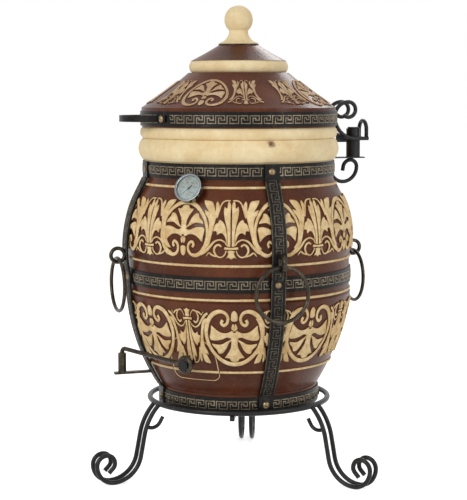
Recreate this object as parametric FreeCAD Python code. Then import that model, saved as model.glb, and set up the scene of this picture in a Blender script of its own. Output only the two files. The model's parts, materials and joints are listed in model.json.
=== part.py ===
import FreeCAD, Part
import math
import os

os.makedirs("parts", exist_ok=True)

# A clay tandoor: a barrel of fired clay in a strapped steel cage, standing loose on a
# wrought iron tripod, with a swinging lid, a lift-off vent cap and an ash door plug.
# Millimetres. The origin is on the floor under the pot's axis, +Z is up, and the front
# faces -Y. Azimuths are turned about +Z from the front, towards +X.

# Clearances
SEAT_GAP = 0.3          # between two pieces that rest on each other but come apart
RUNNING_GAP = 0.05      # radial, pin in its bore
PLUG_GAP = 0.8          # ash door plug in its tunnel

# Where things stand round the pot
STRAP_AZIMUTHS = {"front": 19.0, "left": -71.0, "rear": -161.0, "right": 109.0}
HINGE_SIDE = "right"
LATCH_SIDE = "left"
LEG_AZIMUTHS = {"left": -63.9, "right": 56.1, "rear": 176.1}
SUPPORT_TURN = 60.0     # from a leg to the support bar beside it
DOOR_AZIMUTH = -27.0
GAUGE_AZIMUTH = -26.0

FULL_TURN = 360.0
NUT_SIDES = 6
QUARTER_TURN = 90.0     # from the front to where a cylinder's sweep starts

# Stand
STAND_RING_Z = 170.0
STAND_RING_ROOM = 17.8  # between the pot's foot and the ring round it
STAND_RING_BAR = 12.0
SUPPORT_BAR = 10.0
LEG_BAR = 10.0
LEG_TOP_RADIUS = 125.0
LEG_TOP_TURN = 35.0
LEG_TOP_HEADING = -44.0
LEG_FOOT_RADIUS = 64.5
LEG_SCROLL_RADII = (39.5, 22.5, 19.0)
LEG_SCROLL_TURN = 90.0
LEG_CURL_RADIUS = 15.0
LEG_CURL_TURN = 45.0
LEG_TAIL = 14.0
LEG_SPACING = 26.0      # between the centre lines of a leg's two bars
FOOT_FLAT = 0.4         # ground off under each foot bar
HOOK_SIDES = {"left": 1, "right": -1, "rear": 1}     # which of a leg's bars has the hook
HOOK_BAR = 8.5
HOOK_DROP = 48.0        # hook root below the stand ring
HOOK_RADIUS = 22.0
HOOK_HEADING = 205.0
HOOK_TURN = 85.0
HOOK_TAIL = 14.0

# Clay pot, from its foot up
POT_FOOT_R = 177.0
POT_FOOT_H = 40.0
LOWER_MID_R = 222.0
LOWER_TOP_R = 251.0
LOWER_H = 208.0
HOOP_R = 248.0
HOOP_H = 80.0
UPPER_MID_R = 250.5
SHOULDER_R = 220.0
UPPER_H = 156.0
NECK_R = 211.0
SLOPE_H = 16.0
NECK_H = 43.0
BEAD_R = 2.8
BEAD_LOW_Z = 95.5       # raised lines, above the pot's underside
BEAD_SHOULDER_Z = 490.0
MOUTH_R = 150.0
MOUTH_H = 30.0
BELLY_WALL = 52.0
FLOOR_WALL = 45.0
ASH_PIT_R = 115.0
ASH_PIT_H = 27.0
GRATE_LEDGE = 20.0
NECK_RING_R = 223.3
NECK_RING_LIP_R = 214.0
NECK_RING_H = 46.0

# Steel strips: three hoops on the pot, one on the lid, four upright straps
STRIP_W = 33.0
HOOP_T = 3.0
STRAP_T = 4.0
HOOP_INSET = 2.0        # hoop edge above the pot's underside, or under the neck ring
RELIEF = 5.5            # room that the straps leave over the moulded ornament
RELIEF_UPPER = 4.5
WAIST_GAP = 3.0         # straps stand this far off the middle hoop
STRIP_EASE = 4.0        # straight strap beyond the bottom hoop
RIVET_HEAD_R = 7.5
RIVET_HEAD_H = 4.0
RIVET_SHANK_R = 3.0

# Carrying rings
EYE_BAR = 8.5
EYE_R = 15.25           # centre line
EYE_WELD = 4.0          # depth of the eye's weld into the strap's face
EYE_DROP = 208.0        # eye centre below the pot's rim
CARRY_R = 58.0
CARRY_BAR = 8.0

# Lid
LID_RING_R = 219.8
LID_RING_LIP_R = 212.5
LID_RING_H = 25.4
LID_RING_BORE = 170.0
LID_EDGE_R = 216.0
LID_EDGE_H = 42.0
LID_MID_R = 169.0
LID_MID_H = 73.0
LID_TOP_R = 112.0
LID_H = 118.0
LID_BORE_R = 178.0
LID_BORE_H = 16.0
VENT_R = 75.0
VENT_H = 32.0
LID_HOOP_W = 32.0
HANDLE_REACH = 272.0
HANDLE_LOOP_R = 72.0
HANDLE_T = 5.0
HANDLE_W = 14.0
HANDLE_Z = 9.0          # handle's lower edge above the lid hoop's lower edge
HANDLE_FOOT = 7.0       # degrees of hoop that each riveted foot covers

# Lid hinge
HINGE_R = 277.6
SOCKET_OR = 16.0
PIN_R = 10.0
PIN_HEAD_R = 13.0
PIN_HEAD_H = 3.0
PLATE_T = 3.0
PLATE_END = 300.0
ARM_BAR = 9.0
ARM_Z = 45.0            # arm bars' level run above the plate
ARM_END = 306.0
ARM_SWEEP_R = 50.0
ARM_SCROLL_RADII = (33.0, 17.5, 17.0)
ARM_CURL_R = 16.0
ARM_CURL_TURN = 50.0
SLEEVE_TOP = 67.5       # above the plate's underside
SOCKET_TOP = 36.0
LOOP_H = 40.0
WEB_T = 6.0
WEB_H = 18.0
WEB_REACH = 26.0
BRACKET_BAR = 9.0
BRACKET_RADII = (30.0, 34.0, 15.3)
BRACKET_CURL_R = 18.0
BRACKET_CURL_TURN = 80.0
BRACKET_TAIL = 10.0
BRACKET_ROOT = 14.0

# Vent cap and knob
CAP_RING_R = 110.0
CAP_RING_LIP_R = 104.0
CAP_RING_H = 26.0
SPIGOT_H = 12.0
SPIGOT_GAP = 2.0
SPIGOT_T = 7.0
CAP_R = 106.0
CAP_MID_R = 72.0
CAP_MID_H = 18.0
CAP_TOP_R = 45.0
CAP_H = 34.0
CAP_WALL = 14.0
COLLAR_R = 45.0
COLLAR_H = 3.0
KNOB_FOOT_R = 43.0
KNOB_FOOT_H = 2.5
KNOB_WAIST_R = 21.0
KNOB_WAIST_Z = 25.0
KNOB_BALL_R = 31.5
KNOB_H = 85.0
BOLT_R = 5.0
BOLT_DEPTH = 40.0       # of the bolt in the knob
NUT_R = 9.0
NUT_H = 8.0

# Ash door
DOOR_W = 112.0
DOOR_H = 105.0
DOOR_CORNER = 18.0
DOOR_DEPTH = 58.0       # of the plug, less than the wall
DOOR_Z = 74.0           # door's lower edge above the pot's underside
DOOR_TAPER = 0.13       # loss of half width per millimetre of depth
DOOR_BOLT_Z = 41.0      # above the door's lower edge
DOOR_BOLT_R = 5.0
DOOR_BOLT_HEAD_R = 11.0
DOOR_BOLT_HEAD_H = 4.0
DOOR_BOLT_DEPTH = 30.0
LATCH_R = 272.0
LATCH_TUBE_OR = 9.0
LATCH_TUBE_H = 42.0
LATCH_TUBE_Z = 76.0     # tube's foot above the pot's underside
LATCH_ARM_T = 5.0
LATCH_ARM_W = 14.0
LATCH_ARM_END = 18.0    # arm beyond the tube's axis
ROD_R = 4.75
ROD_RISE = 11.0         # rod's level run above the tube
ROD_BEND = 10.0
ROD_EYE_R = 15.5
ROD_EYE_BAR = 10.0
ROD_EYE_REACH = 249.6   # eye's centre from the pot's axis

# Thermometer
GAUGE_Z = 482.0         # above the pot's underside, where its axis meets the clay
GAUGE_TILT = 24.0
GAUGE_R = 30.0
GAUGE_DEPTH = 13.0
GAUGE_WALL = 1.5
GAUGE_BACK = 9.0        # case back from the clay's face, along the axis
BEZEL_W = 3.5
BEZEL_H = 3.0
DIAL_T = 1.0
DIAL_SEAT = 4.0         # dial's face below the bezel's back
GLASS_T = 1.5
NEEDLE_L = 17.0
NEEDLE_TAIL = 9.0
NEEDLE_W = 1.6
NEEDLE_T = 0.6
NEEDLE_ANGLE = 225.0
HUB_R = 2.4
HUB_H = 1.6
SPINDLE_R = 1.0
STEM_R = 4.0
STEM_L = 95.0
BUSH_R = 7.0
BUSH_NUT_R = 10.0
BUSH_NUT_H = 7.0

# Fire grate
GRATE_T = 10.0
GRATE_GAP = 3.0
GRATE_RIM = 14.0
GRATE_RIB = 9.0
GRATE_SLOT = 11.0

# Levels that follow from the sizes above
STAND_RING_R = POT_FOOT_R + STAND_RING_ROOM + STAND_RING_BAR / 2
POT_Z = STAND_RING_Z - STAND_RING_BAR / 2 + SEAT_GAP
LOWER_Z = POT_Z + POT_FOOT_H
HOOP_Z = LOWER_Z + LOWER_H
UPPER_Z = HOOP_Z + HOOP_H
SLOPE_Z = UPPER_Z + UPPER_H
NECK_Z = SLOPE_Z + SLOPE_H
RIM_Z = NECK_Z + NECK_H
NECK_RING_TOP = RIM_Z + NECK_RING_H
LID_RING_Z = NECK_RING_TOP + SEAT_GAP
LID_Z = LID_RING_Z + LID_RING_H
LID_TOP = LID_Z + LID_H
CAP_RING_Z = LID_TOP + SEAT_GAP
CAP_Z = CAP_RING_Z + CAP_RING_H
COLLAR_Z = CAP_Z + CAP_H
KNOB_Z = COLLAR_Z + COLLAR_H
FLOOR_Z = POT_Z + FLOOR_WALL
LEDGE_Z = FLOOR_Z + ASH_PIT_H
BOTTOM_HOOP_Z = POT_Z + HOOP_INSET
MIDDLE_HOOP_Z = HOOP_Z + (HOOP_H - STRIP_W) / 2
TOP_HOOP_Z = RIM_Z - PLATE_T - SEAT_GAP - STRIP_W
LID_HOOP_Z = LID_Z + (LID_EDGE_H - LID_HOOP_W) / 4
PLATE_Z = RIM_Z - PLATE_T
ARM_LEVEL = PLATE_Z + ARM_Z
DOOR_BASE = POT_Z + DOOR_Z
LATCH_Z = POT_Z + LATCH_TUBE_Z
HINGE_AZIMUTH = STRAP_AZIMUTHS[HINGE_SIDE]
LATCH_AZIMUTH = STRAP_AZIMUTHS[LATCH_SIDE]
HANDLE_AZIMUTH = HINGE_AZIMUTH - 180.0
Z_AXIS = FreeCAD.Vector(0, 0, 1)
FRONT = FreeCAD.Vector(0, -1, 0)
SIDE = FreeCAD.Vector(1, 0, 0)
ORIGIN = FreeCAD.Vector(0, 0, 0)


def save(name, shape):
    """Writes one piece as a STEP file named after its node."""
    shape.exportStep("parts/" + name + ".step")


def place(r, t, z):
    """A point of the front plane: r out of the axis, t to the side, z up."""
    return FreeCAD.Vector(t, -r, z)


def nut_turn(i):
    """Angle to a corner of a hexagon nut, in radians."""
    return math.radians(FULL_TURN / NUT_SIDES * i)


def turned(shape, azimuth):
    """A copy turned about the pot's axis, from the front to its azimuth."""
    copy = shape.copy()
    copy.rotate(ORIGIN, Z_AXIS, azimuth)
    return copy


def joined(solids):
    """Several solids as one piece."""
    whole = solids[0].multiFuse(solids[1:]).removeSplitter()
    return whole.Solids[0] if len(whole.Solids) == 1 else whole


def turned_piece(start, steps):
    """A solid of revolution. A step is (r, z), a line, or (via r, via z, r, z), an arc."""
    point = FreeCAD.Vector(start[0], 0, start[1])
    first = point
    edges = []
    for step in steps:
        end = FreeCAD.Vector(step[-2], 0, step[-1])
        if len(step) == 4:
            via = FreeCAD.Vector(step[0], 0, step[1])
            edges.append(Part.Arc(point, via, end).toShape())
        else:
            edges.append(Part.LineSegment(point, end).toShape())
        point = end
    edges.append(Part.LineSegment(point, first).toShape())
    face = Part.Face(Part.Wire(edges))
    return face.revolve(ORIGIN, Z_AXIS, 360)


def tube(r_out, r_in, z, height):
    """An upright tube about the pot's axis."""
    outer = Part.makeCylinder(r_out, height, FreeCAD.Vector(0, 0, z))
    inner = Part.makeCylinder(r_in, height, FreeCAD.Vector(0, 0, z))
    return outer.cut(inner)


def arc_radius(start, via, end, z):
    """The radius, at height z, of the outline arc through three points, bulging outwards."""
    circle = Part.Circle(*[FreeCAD.Vector(r, 0, h) for r, h in (start, via, end)])
    rise = z - circle.Center.z
    return circle.Center.x + math.sqrt(circle.Radius ** 2 - rise ** 2)


def bend_edges(start, heading, bends):
    """Edges of a bar bent in an upright plane. A bend is (straight run, radius, turn)."""
    r, z = start
    angle = math.radians(heading)
    edges = []
    for run, radius, turn in bends:
        if run:
            far = (r + run * math.cos(angle), z + run * math.sin(angle))
            edges.append(Part.LineSegment(place(r, 0, z), place(far[0], 0, far[1])).toShape())
            r, z = far
        if turn:
            side = math.copysign(radius, turn)
            centre = (r - side * math.sin(angle), z + side * math.cos(angle))
            marks = [place(r, 0, z)]
            for share in (0.5, 1.0):
                along_arc = angle + math.radians(turn) * share
                r = centre[0] + side * math.sin(along_arc)
                z = centre[1] - side * math.cos(along_arc)
                marks.append(place(r, 0, z))
            edges.append(Part.Arc(*marks).toShape())
            angle += math.radians(turn)
    return edges


def bar_along(edges, diameter):
    """A round bar along a chain of edges."""
    wire = Part.Wire(edges)
    first = wire.OrderedEdges[0]
    tangent = first.tangentAt(first.FirstParameter)
    start = first.valueAt(first.FirstParameter)
    section = Part.Wire(Part.makeCircle(diameter / 2, start, tangent))
    return wire.makePipeShell([section], True, False)


# Outline arcs of the clay body, shared by the pot, the straps and what is fixed to them
LOWER_ARC = ((POT_FOOT_R, LOWER_Z), (LOWER_MID_R, LOWER_Z + LOWER_H * 0.45), (LOWER_TOP_R, HOOP_Z))
UPPER_ARC = ((HOOP_R, UPPER_Z), (UPPER_MID_R, UPPER_Z + UPPER_H / 2), (SHOULDER_R, SLOPE_Z))


def clay_radius(z):
    """Radius of the clay's outside at height z."""
    if z <= LOWER_Z:
        return POT_FOOT_R
    if z <= HOOP_Z:
        return arc_radius(*LOWER_ARC, z)
    if z <= UPPER_Z:
        return HOOP_R
    if z <= SLOPE_Z:
        return arc_radius(*UPPER_ARC, z)
    return NECK_R


def pot_body():
    """The clay body without its hollow."""
    return turned_piece((0, POT_Z), [
        (POT_FOOT_R, POT_Z),
        (POT_FOOT_R, LOWER_Z),
        LOWER_ARC[1] + LOWER_ARC[2],
        (HOOP_R, HOOP_Z + LOWER_TOP_R - HOOP_R),
        (HOOP_R, UPPER_Z),
        UPPER_ARC[1] + UPPER_ARC[2],
        (NECK_R, NECK_Z),
        (NECK_R, RIM_Z),
        (0, RIM_Z),
    ])


def pot_hollow():
    """The firing chamber, the grate's ledge and the ash pit under it."""
    ledge_r = ASH_PIT_R + GRATE_LEDGE
    throat_z = RIM_Z - MOUTH_H
    belly_z = (LEDGE_Z + throat_z) / 2
    return turned_piece((0, FLOOR_Z), [
        (ASH_PIT_R, FLOOR_Z),
        (ASH_PIT_R, LEDGE_Z),
        (ledge_r, LEDGE_Z),
        (ledge_r, LEDGE_Z + GRATE_T),
        (HOOP_R - BELLY_WALL, belly_z, MOUTH_R, throat_z),
        (MOUTH_R, RIM_Z),
        (0, RIM_Z),
    ])


def beads():
    """Moulded lines round the pot: over the foot, beside the middle hoop, on the shoulder."""
    heights = [POT_Z + BEAD_LOW_Z, HOOP_Z + HOOP_H * 0.1, UPPER_Z, POT_Z + BEAD_SHOULDER_Z]
    shapes = []
    for z in heights:
        r = clay_radius(z) if z <= SLOPE_Z else SHOULDER_R - (z - SLOPE_Z) * (SHOULDER_R - NECK_R) / SLOPE_H
        shapes.append(Part.makeTorus(r, BEAD_R, FreeCAD.Vector(0, 0, z)))
    return shapes


def door_outline(shrink, r):
    """The door's arch as a wire in the upright plane at distance r from the axis."""
    half = DOOR_W / 2 - shrink
    low = DOOR_BASE + shrink
    spring = DOOR_BASE + DOOR_H - DOOR_W / 2
    corner = DOOR_CORNER
    slant = corner * (1 - math.sqrt(0.5))
    marks = [
        place(r, -half, spring),
        place(r, -half, low + corner),
        place(r, -half + corner, low),
        place(r, half - corner, low),
        place(r, half, low + corner),
        place(r, half, spring),
    ]
    edges = [
        Part.LineSegment(marks[0], marks[1]).toShape(),
        Part.Arc(marks[1], place(r, -half + slant, low + slant), marks[2]).toShape(),
        Part.LineSegment(marks[2], marks[3]).toShape(),
        Part.Arc(marks[3], place(r, half - slant, low + slant), marks[4]).toShape(),
        Part.LineSegment(marks[4], marks[5]).toShape(),
        Part.Arc(marks[5], place(r, 0, spring + half), marks[0]).toShape(),
    ]
    return Part.Wire(edges)


def door_wedge(depth, gap):
    """The tapered arch in the wall at the door, as deep as asked and wider by a gap."""
    face_r = clay_radius(DOOR_BASE + DOOR_H / 2)
    wedge = Part.makeLoft([
        door_outline(-BELLY_WALL * DOOR_TAPER - gap, face_r + BELLY_WALL),
        door_outline(depth * DOOR_TAPER - gap, face_r - depth),
    ], True, True)
    return turned(wedge, DOOR_AZIMUTH)


def gauge_frame(shape):
    """Moves a piece built along -Y from the origin to the thermometer's place on the pot."""
    copy = shape.copy()
    copy.rotate(ORIGIN, SIDE, -GAUGE_TILT)
    z = POT_Z + GAUGE_Z
    copy.translate(place(clay_radius(z), 0, z))
    return turned(copy, GAUGE_AZIMUTH)


def along(r, start, length):
    """A cylinder on the -Y line through the origin, from start, outwards."""
    return Part.makeCylinder(r, length, FRONT * start, FRONT)


def clay_pot():
    body = pot_body().multiFuse(beads())
    body = body.cut(pot_hollow())
    body = body.cut(door_wedge(2 * DOOR_DEPTH, PLUG_GAP))
    bush_hole = gauge_frame(along(BUSH_R, -STEM_L, STEM_L + GAUGE_BACK))
    gauge_room = gauge_frame(along(GAUGE_R + 1.0, GAUGE_BACK - 2.0, GAUGE_DEPTH))
    body = body.cut(bush_hole).cut(gauge_room)
    return body


def neck_ring():
    mid = RIM_Z + NECK_RING_H / 2
    return turned_piece((MOUTH_R, RIM_Z), [
        (NECK_RING_LIP_R, RIM_Z),
        (NECK_RING_R, mid, NECK_RING_LIP_R, NECK_RING_TOP),
        (MOUTH_R, NECK_RING_TOP),
    ])


def rivet(r, z, depth):
    """A domed rivet whose head lies on the radius r, its shank reaching in by depth."""
    cap_r = (RIVET_HEAD_R ** 2 + RIVET_HEAD_H ** 2) / (2 * RIVET_HEAD_H)
    slope = math.asin(RIVET_HEAD_R / cap_r) / 2
    body = turned_piece((0, -depth), [
        (RIVET_SHANK_R, -depth),
        (RIVET_SHANK_R, 0),
        (RIVET_HEAD_R, 0),
        (cap_r * math.sin(slope), RIVET_HEAD_H - cap_r * (1 - math.cos(slope)), 0, RIVET_HEAD_H),
    ])
    body.rotate(ORIGIN, SIDE, 90)
    body.translate(place(r, 0, z))
    return body


def hoop_levels():
    """Each hoop on the pot: its name, lower edge and the radius of the clay behind it."""
    return [
        ("bottom_band", BOTTOM_HOOP_Z, POT_FOOT_R),
        ("middle_band", MIDDLE_HOOP_Z, HOOP_R),
        ("top_band", TOP_HOOP_Z, NECK_R),
    ]


def strap_line():
    """The strap's inner line in the (r, z) plane: foot, two long curves, neck."""
    foot = POT_FOOT_R + HOOP_T
    foot_z = BOTTOM_HOOP_Z + STRIP_W + STRIP_EASE
    waist = (HOOP_R + HOOP_T + WAIST_GAP, MIDDLE_HOOP_Z + STRIP_W / 2)
    neck = NECK_R + HOOP_T
    lower = LOWER_ARC[1]
    upper = UPPER_ARC[1]
    return [
        (foot, BOTTOM_HOOP_Z),
        (foot, foot_z),
        (lower[0] + RELIEF, lower[1]) + waist,
        (upper[0] + RELIEF_UPPER, upper[1], SHOULDER_R + RELIEF, SLOPE_Z),
        (neck, TOP_HOOP_Z),
        (neck, TOP_HOOP_Z + STRIP_W),
    ]


def thickened(step):
    """A step of an outline moved out by the strap's thickness."""
    return tuple(value + STRAP_T if i % 2 == 0 else value for i, value in enumerate(step))


def strap_band():
    """One strap at the front: a strip cut from the shell of revolution round the pot."""
    line = strap_line()
    low = line[0][1]
    high = line[-1][1]
    core = turned_piece((0, low), line + [(0, high)])
    shell = turned_piece((0, low), [thickened(step) for step in line] + [(0, high)])
    window = Part.makeBox(STRIP_W, 2 * HOOP_R, high - low, FreeCAD.Vector(-STRIP_W / 2, -2 * HOOP_R, low))
    return shell.cut(core).common(window)


def strap_radius(z):
    """Radius of the strap's outer face at height z on its upper curve."""
    line = strap_line()
    return arc_radius(line[2][2:], line[3][:2], line[3][2:], z) + STRAP_T


def hoops_and_straps():
    """Hoops, straps and the rivets that join them, with the rivets' holes cut."""
    rivets = {}
    for side, azimuth in STRAP_AZIMUTHS.items():
        rivets[side] = []
        for _, z, r in hoop_levels():
            gap = WAIST_GAP if r == HOOP_R else 0.0
            depth = HOOP_T + gap + STRAP_T
            rivets[side].append(turned(rivet(r + depth, z + STRIP_W / 2, depth), azimuth))
    every = [one for group in rivets.values() for one in group]
    for name, z, r in hoop_levels():
        save(name, tube(r + HOOP_T, r, z, STRIP_W).cut(every))
    strap = strap_band()
    straps = {}
    for side, azimuth in STRAP_AZIMUTHS.items():
        straps[side] = turned(strap, azimuth).cut(rivets[side])
        save("strap_" + side, straps[side])
    save("strap_rivets", Part.makeCompound(every))
    return straps, every


def eye_place():
    """Radius and height of the centre of a carrying ring's eye."""
    z = RIM_Z - EYE_DROP
    r = strap_radius(z) + EYE_R + EYE_BAR / 2 - EYE_WELD
    return r, z


def ring_eyes(straps):
    r, z = eye_place()
    eyes = []
    for side, azimuth in STRAP_AZIMUTHS.items():
        eye = Part.makeTorus(EYE_R, EYE_BAR / 2, place(r, 0, z), SIDE)
        eyes.append(turned(eye, azimuth).cut(straps[side]))
    return Part.makeCompound(eyes)


def ring_pivot():
    """Radius and height of the axis that a carrying ring turns about, its bar's centre."""
    r, z = eye_place()
    drop = EYE_R - EYE_BAR / 2 - CARRY_BAR / 2 - SEAT_GAP
    return r, z - drop


def carry_ring():
    r, z = ring_pivot()
    return Part.makeTorus(CARRY_R, CARRY_BAR / 2, place(r, 0, z - CARRY_R), FRONT)


# Lid

def lid_ring():
    mid = LID_RING_Z + LID_RING_H / 2
    return turned_piece((LID_RING_BORE, LID_RING_Z), [
        (LID_RING_LIP_R, LID_RING_Z),
        (LID_RING_R, mid, LID_RING_LIP_R, LID_Z),
        (LID_RING_BORE, LID_Z),
    ])


def lid_dome():
    return turned_piece((LID_BORE_R, LID_Z), [
        (LID_EDGE_R, LID_Z),
        (LID_EDGE_R, LID_Z + LID_EDGE_H),
        (LID_MID_R, LID_Z + LID_MID_H, LID_TOP_R, LID_TOP),
        (VENT_R, LID_TOP),
        (VENT_R, LID_TOP - VENT_H),
        (LID_BORE_R, LID_Z + LID_BORE_H),
    ])


def lid_rivets():
    """Rivets through the two feet of the lid's handle, into the lid hoop."""
    z = LID_HOOP_Z + HANDLE_Z + HANDLE_W / 2
    r = LID_EDGE_R + HOOP_T + HOOP_T
    spread = handle_half_angle() + HANDLE_FOOT / 2
    return [turned(rivet(r, z, 2 * HOOP_T), HANDLE_AZIMUTH + side * spread) for side in (-1, 1)]


def handle_half_angle():
    """Angle, at the pot's axis, from the handle's middle to where its loop meets the hoop."""
    centre = HANDLE_REACH - HANDLE_LOOP_R
    hoop_r = LID_EDGE_R + HOOP_T
    cosine = (hoop_r ** 2 + centre ** 2 - HANDLE_LOOP_R ** 2) / (2 * hoop_r * centre)
    return math.degrees(math.acos(cosine))


def sector(r_out, r_in, z, height, start, sweep):
    """Part of an upright tube between two azimuths."""
    outer = Part.makeCylinder(r_out, height, FreeCAD.Vector(0, 0, z), Z_AXIS, sweep)
    inner = Part.makeCylinder(r_in, height, FreeCAD.Vector(0, 0, z), Z_AXIS, sweep)
    return turned(outer.cut(inner), start - QUARTER_TURN)


def lid_handle():
    z = LID_HOOP_Z + HANDLE_Z
    hoop_r = LID_EDGE_R + HOOP_T
    centre = place(HANDLE_REACH - HANDLE_LOOP_R, 0, z)
    loop = Part.makeCylinder(HANDLE_LOOP_R, HANDLE_W, centre)
    loop = loop.cut(Part.makeCylinder(HANDLE_LOOP_R - HANDLE_T, HANDLE_W, centre))
    loop = loop.cut(Part.makeCylinder(hoop_r, HANDLE_W, FreeCAD.Vector(0, 0, z)))
    angle = handle_half_angle()
    lap = HANDLE_T / 2 / hoop_r
    lap = math.degrees(lap)
    feet = [
        sector(hoop_r + HOOP_T, hoop_r, z, HANDLE_W, angle - lap, HANDLE_FOOT + lap),
        sector(hoop_r + HOOP_T, hoop_r, z, HANDLE_W, -angle - HANDLE_FOOT, HANDLE_FOOT + lap),
    ]
    return turned(joined([loop] + feet), HANDLE_AZIMUTH)


def arm_offset():
    """Half the distance between the two hinge arms, which clasp the sleeve."""
    return SOCKET_OR + ARM_BAR / 2


def arm_level_run():
    """Length of an arm's level run, from its end to the start of its upward sweep."""
    upright = LID_EDGE_R + HOOP_T + ARM_BAR / 2
    return ARM_END - upright - ARM_SWEEP_R


def hinge_arm(side):
    bends = [(arm_level_run(), ARM_SWEEP_R, -90.0)]
    bends += [(0.0, radius, -90.0) for radius in ARM_SCROLL_RADII]
    bends += [(0.0, ARM_CURL_R, -ARM_CURL_TURN)]
    bar = bar_along(bend_edges((ARM_END, ARM_LEVEL), 180.0, bends), ARM_BAR)
    bar.translate(FreeCAD.Vector(side * arm_offset(), 0, 0))
    return turned(bar, HINGE_AZIMUTH)


def hinge_post(r, z, height):
    """An upright cylinder on the lid hinge's axis, at the front."""
    return Part.makeCylinder(r, height, place(HINGE_R, 0, z))


def hinge_sleeve():
    low = PLATE_Z + SOCKET_TOP + SEAT_GAP
    height = PLATE_Z + SLEEVE_TOP - low
    outer = hinge_post(SOCKET_OR, low, height)
    return turned(outer.cut(hinge_post(PIN_R + RUNNING_GAP, low, height)), HINGE_AZIMUTH)


def hinge_web():
    low = PLATE_Z + SOCKET_TOP + SEAT_GAP
    root = HINGE_R - SOCKET_OR
    plate = Part.makeBox(WEB_T, WEB_REACH + SOCKET_OR / 2, WEB_H,
                         FreeCAD.Vector(-WEB_T / 2, -root - SOCKET_OR / 2, low))
    plate = plate.cut(hinge_post(SOCKET_OR, low, WEB_H))
    return turned(plate, HINGE_AZIMUTH)


def hinge_pin():
    low = PLATE_Z + PLATE_T + SEAT_GAP
    top = PLATE_Z + SLEEVE_TOP + SEAT_GAP
    shank = hinge_post(PIN_R, low, top - low)
    head = hinge_post(PIN_HEAD_R, top, PIN_HEAD_H)
    return turned(joined([shank, head]), HINGE_AZIMUTH)


def hinge_socket():
    low = PLATE_Z + PLATE_T
    height = SOCKET_TOP - PLATE_T
    outer = hinge_post(SOCKET_OR, low, height)
    return turned(outer.cut(hinge_post(PIN_R + RUNNING_GAP, low, height)), HINGE_AZIMUTH)


def hinge_loop():
    """The upright handle arched over the ends of the two arms."""
    half = arm_offset()
    low_z = ARM_LEVEL + ARM_BAR / 2
    low = place(ARM_END - ARM_BAR / 2, -half, low_z)
    spring_z = ARM_LEVEL + LOOP_H - half
    marks = [low, low + FreeCAD.Vector(0, 0, spring_z - low_z)]
    top = place(ARM_END - ARM_BAR / 2, 0, spring_z + half)
    far = marks[1] + FreeCAD.Vector(2 * half, 0, 0)
    edges = [
        Part.LineSegment(marks[0], marks[1]).toShape(),
        Part.Arc(marks[1], top, far).toShape(),
        Part.LineSegment(far, low + FreeCAD.Vector(2 * half, 0, 0)).toShape(),
    ]
    return turned(bar_along(edges, ARM_BAR), HINGE_AZIMUTH)


def hinge_plate():
    plate = Part.makeBox(STRIP_W, PLATE_END - NECK_R, PLATE_T,
                         FreeCAD.Vector(-STRIP_W / 2, -PLATE_END, PLATE_Z))
    plate = plate.cut(Part.makeCylinder(NECK_R, PLATE_T, FreeCAD.Vector(0, 0, PLATE_Z)))
    return turned(plate, HINGE_AZIMUTH)


def hinge_bracket():
    """The scroll under the plate, rising from the strap to carry it."""
    first, second, third = BRACKET_RADII
    root_r = NECK_R + HOOP_T + STRAP_T + BRACKET_BAR / 2
    low = PLATE_Z - BRACKET_BAR / 2 - third - second
    bends = [
        (BRACKET_ROOT, first, 90.0),
        (0.0, second, 90.0),
        (0.0, third, 90.0),
        (0.0, BRACKET_CURL_R, BRACKET_CURL_TURN),
        (BRACKET_TAIL, 0.0, 0.0),
    ]
    edges = bend_edges((root_r, low + first + BRACKET_ROOT), 270.0, bends)
    return turned(bar_along(edges, BRACKET_BAR), HINGE_AZIMUTH)


# Vent cap

def cap_ring():
    mid = CAP_RING_Z + CAP_RING_H / 2
    spigot_r = VENT_R - SPIGOT_GAP
    return turned_piece((spigot_r - SPIGOT_T, CAP_RING_Z - SPIGOT_H), [
        (spigot_r, CAP_RING_Z - SPIGOT_H),
        (spigot_r, CAP_RING_Z),
        (CAP_RING_LIP_R, CAP_RING_Z),
        (CAP_RING_R, mid, CAP_RING_LIP_R, CAP_Z),
        (spigot_r - SPIGOT_T, CAP_Z),
    ])


def vent_cap():
    body = turned_piece((0, CAP_Z), [
        (CAP_R, CAP_Z),
        (CAP_MID_R, CAP_Z + CAP_MID_H, CAP_TOP_R, COLLAR_Z),
        (0, COLLAR_Z),
    ])
    hollow = turned_piece((0, CAP_Z), [
        (CAP_R - 2 * CAP_WALL, CAP_Z),
        (CAP_TOP_R - CAP_WALL, COLLAR_Z - CAP_WALL),
        (0, COLLAR_Z - CAP_WALL),
    ])
    bore = Part.makeCylinder(BOLT_R, CAP_H, FreeCAD.Vector(0, 0, CAP_Z))
    return body.cut(hollow).cut(bore)


def knob_collar():
    return tube(COLLAR_R, BOLT_R, COLLAR_Z, COLLAR_H)


def knob():
    """A turned ball on a flared foot."""
    ball_z = KNOB_Z + KNOB_H - KNOB_BALL_R
    waist_z = KNOB_Z + KNOB_WAIST_Z
    neck_drop = math.sqrt(KNOB_BALL_R ** 2 - KNOB_WAIST_R ** 2)
    neck_z = ball_z - neck_drop
    foot_z = KNOB_Z + KNOB_FOOT_H
    body = turned_piece((0, KNOB_Z), [
        (KNOB_FOOT_R, KNOB_Z),
        (KNOB_FOOT_R, foot_z),
        (KNOB_WAIST_R + (KNOB_FOOT_R - KNOB_WAIST_R) * 0.22, foot_z + (waist_z - foot_z) * 0.52,
         KNOB_WAIST_R, max(waist_z, foot_z)),
        (KNOB_WAIST_R, neck_z),
        (KNOB_BALL_R, ball_z, 0, ball_z + KNOB_BALL_R),
    ])
    return body.cut(Part.makeCylinder(BOLT_R, BOLT_DEPTH, FreeCAD.Vector(0, 0, KNOB_Z)))


def knob_bolt():
    low = COLLAR_Z - CAP_WALL - NUT_H - NUT_R / 2
    return Part.makeCylinder(BOLT_R, KNOB_Z + BOLT_DEPTH - low, FreeCAD.Vector(0, 0, low))


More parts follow.
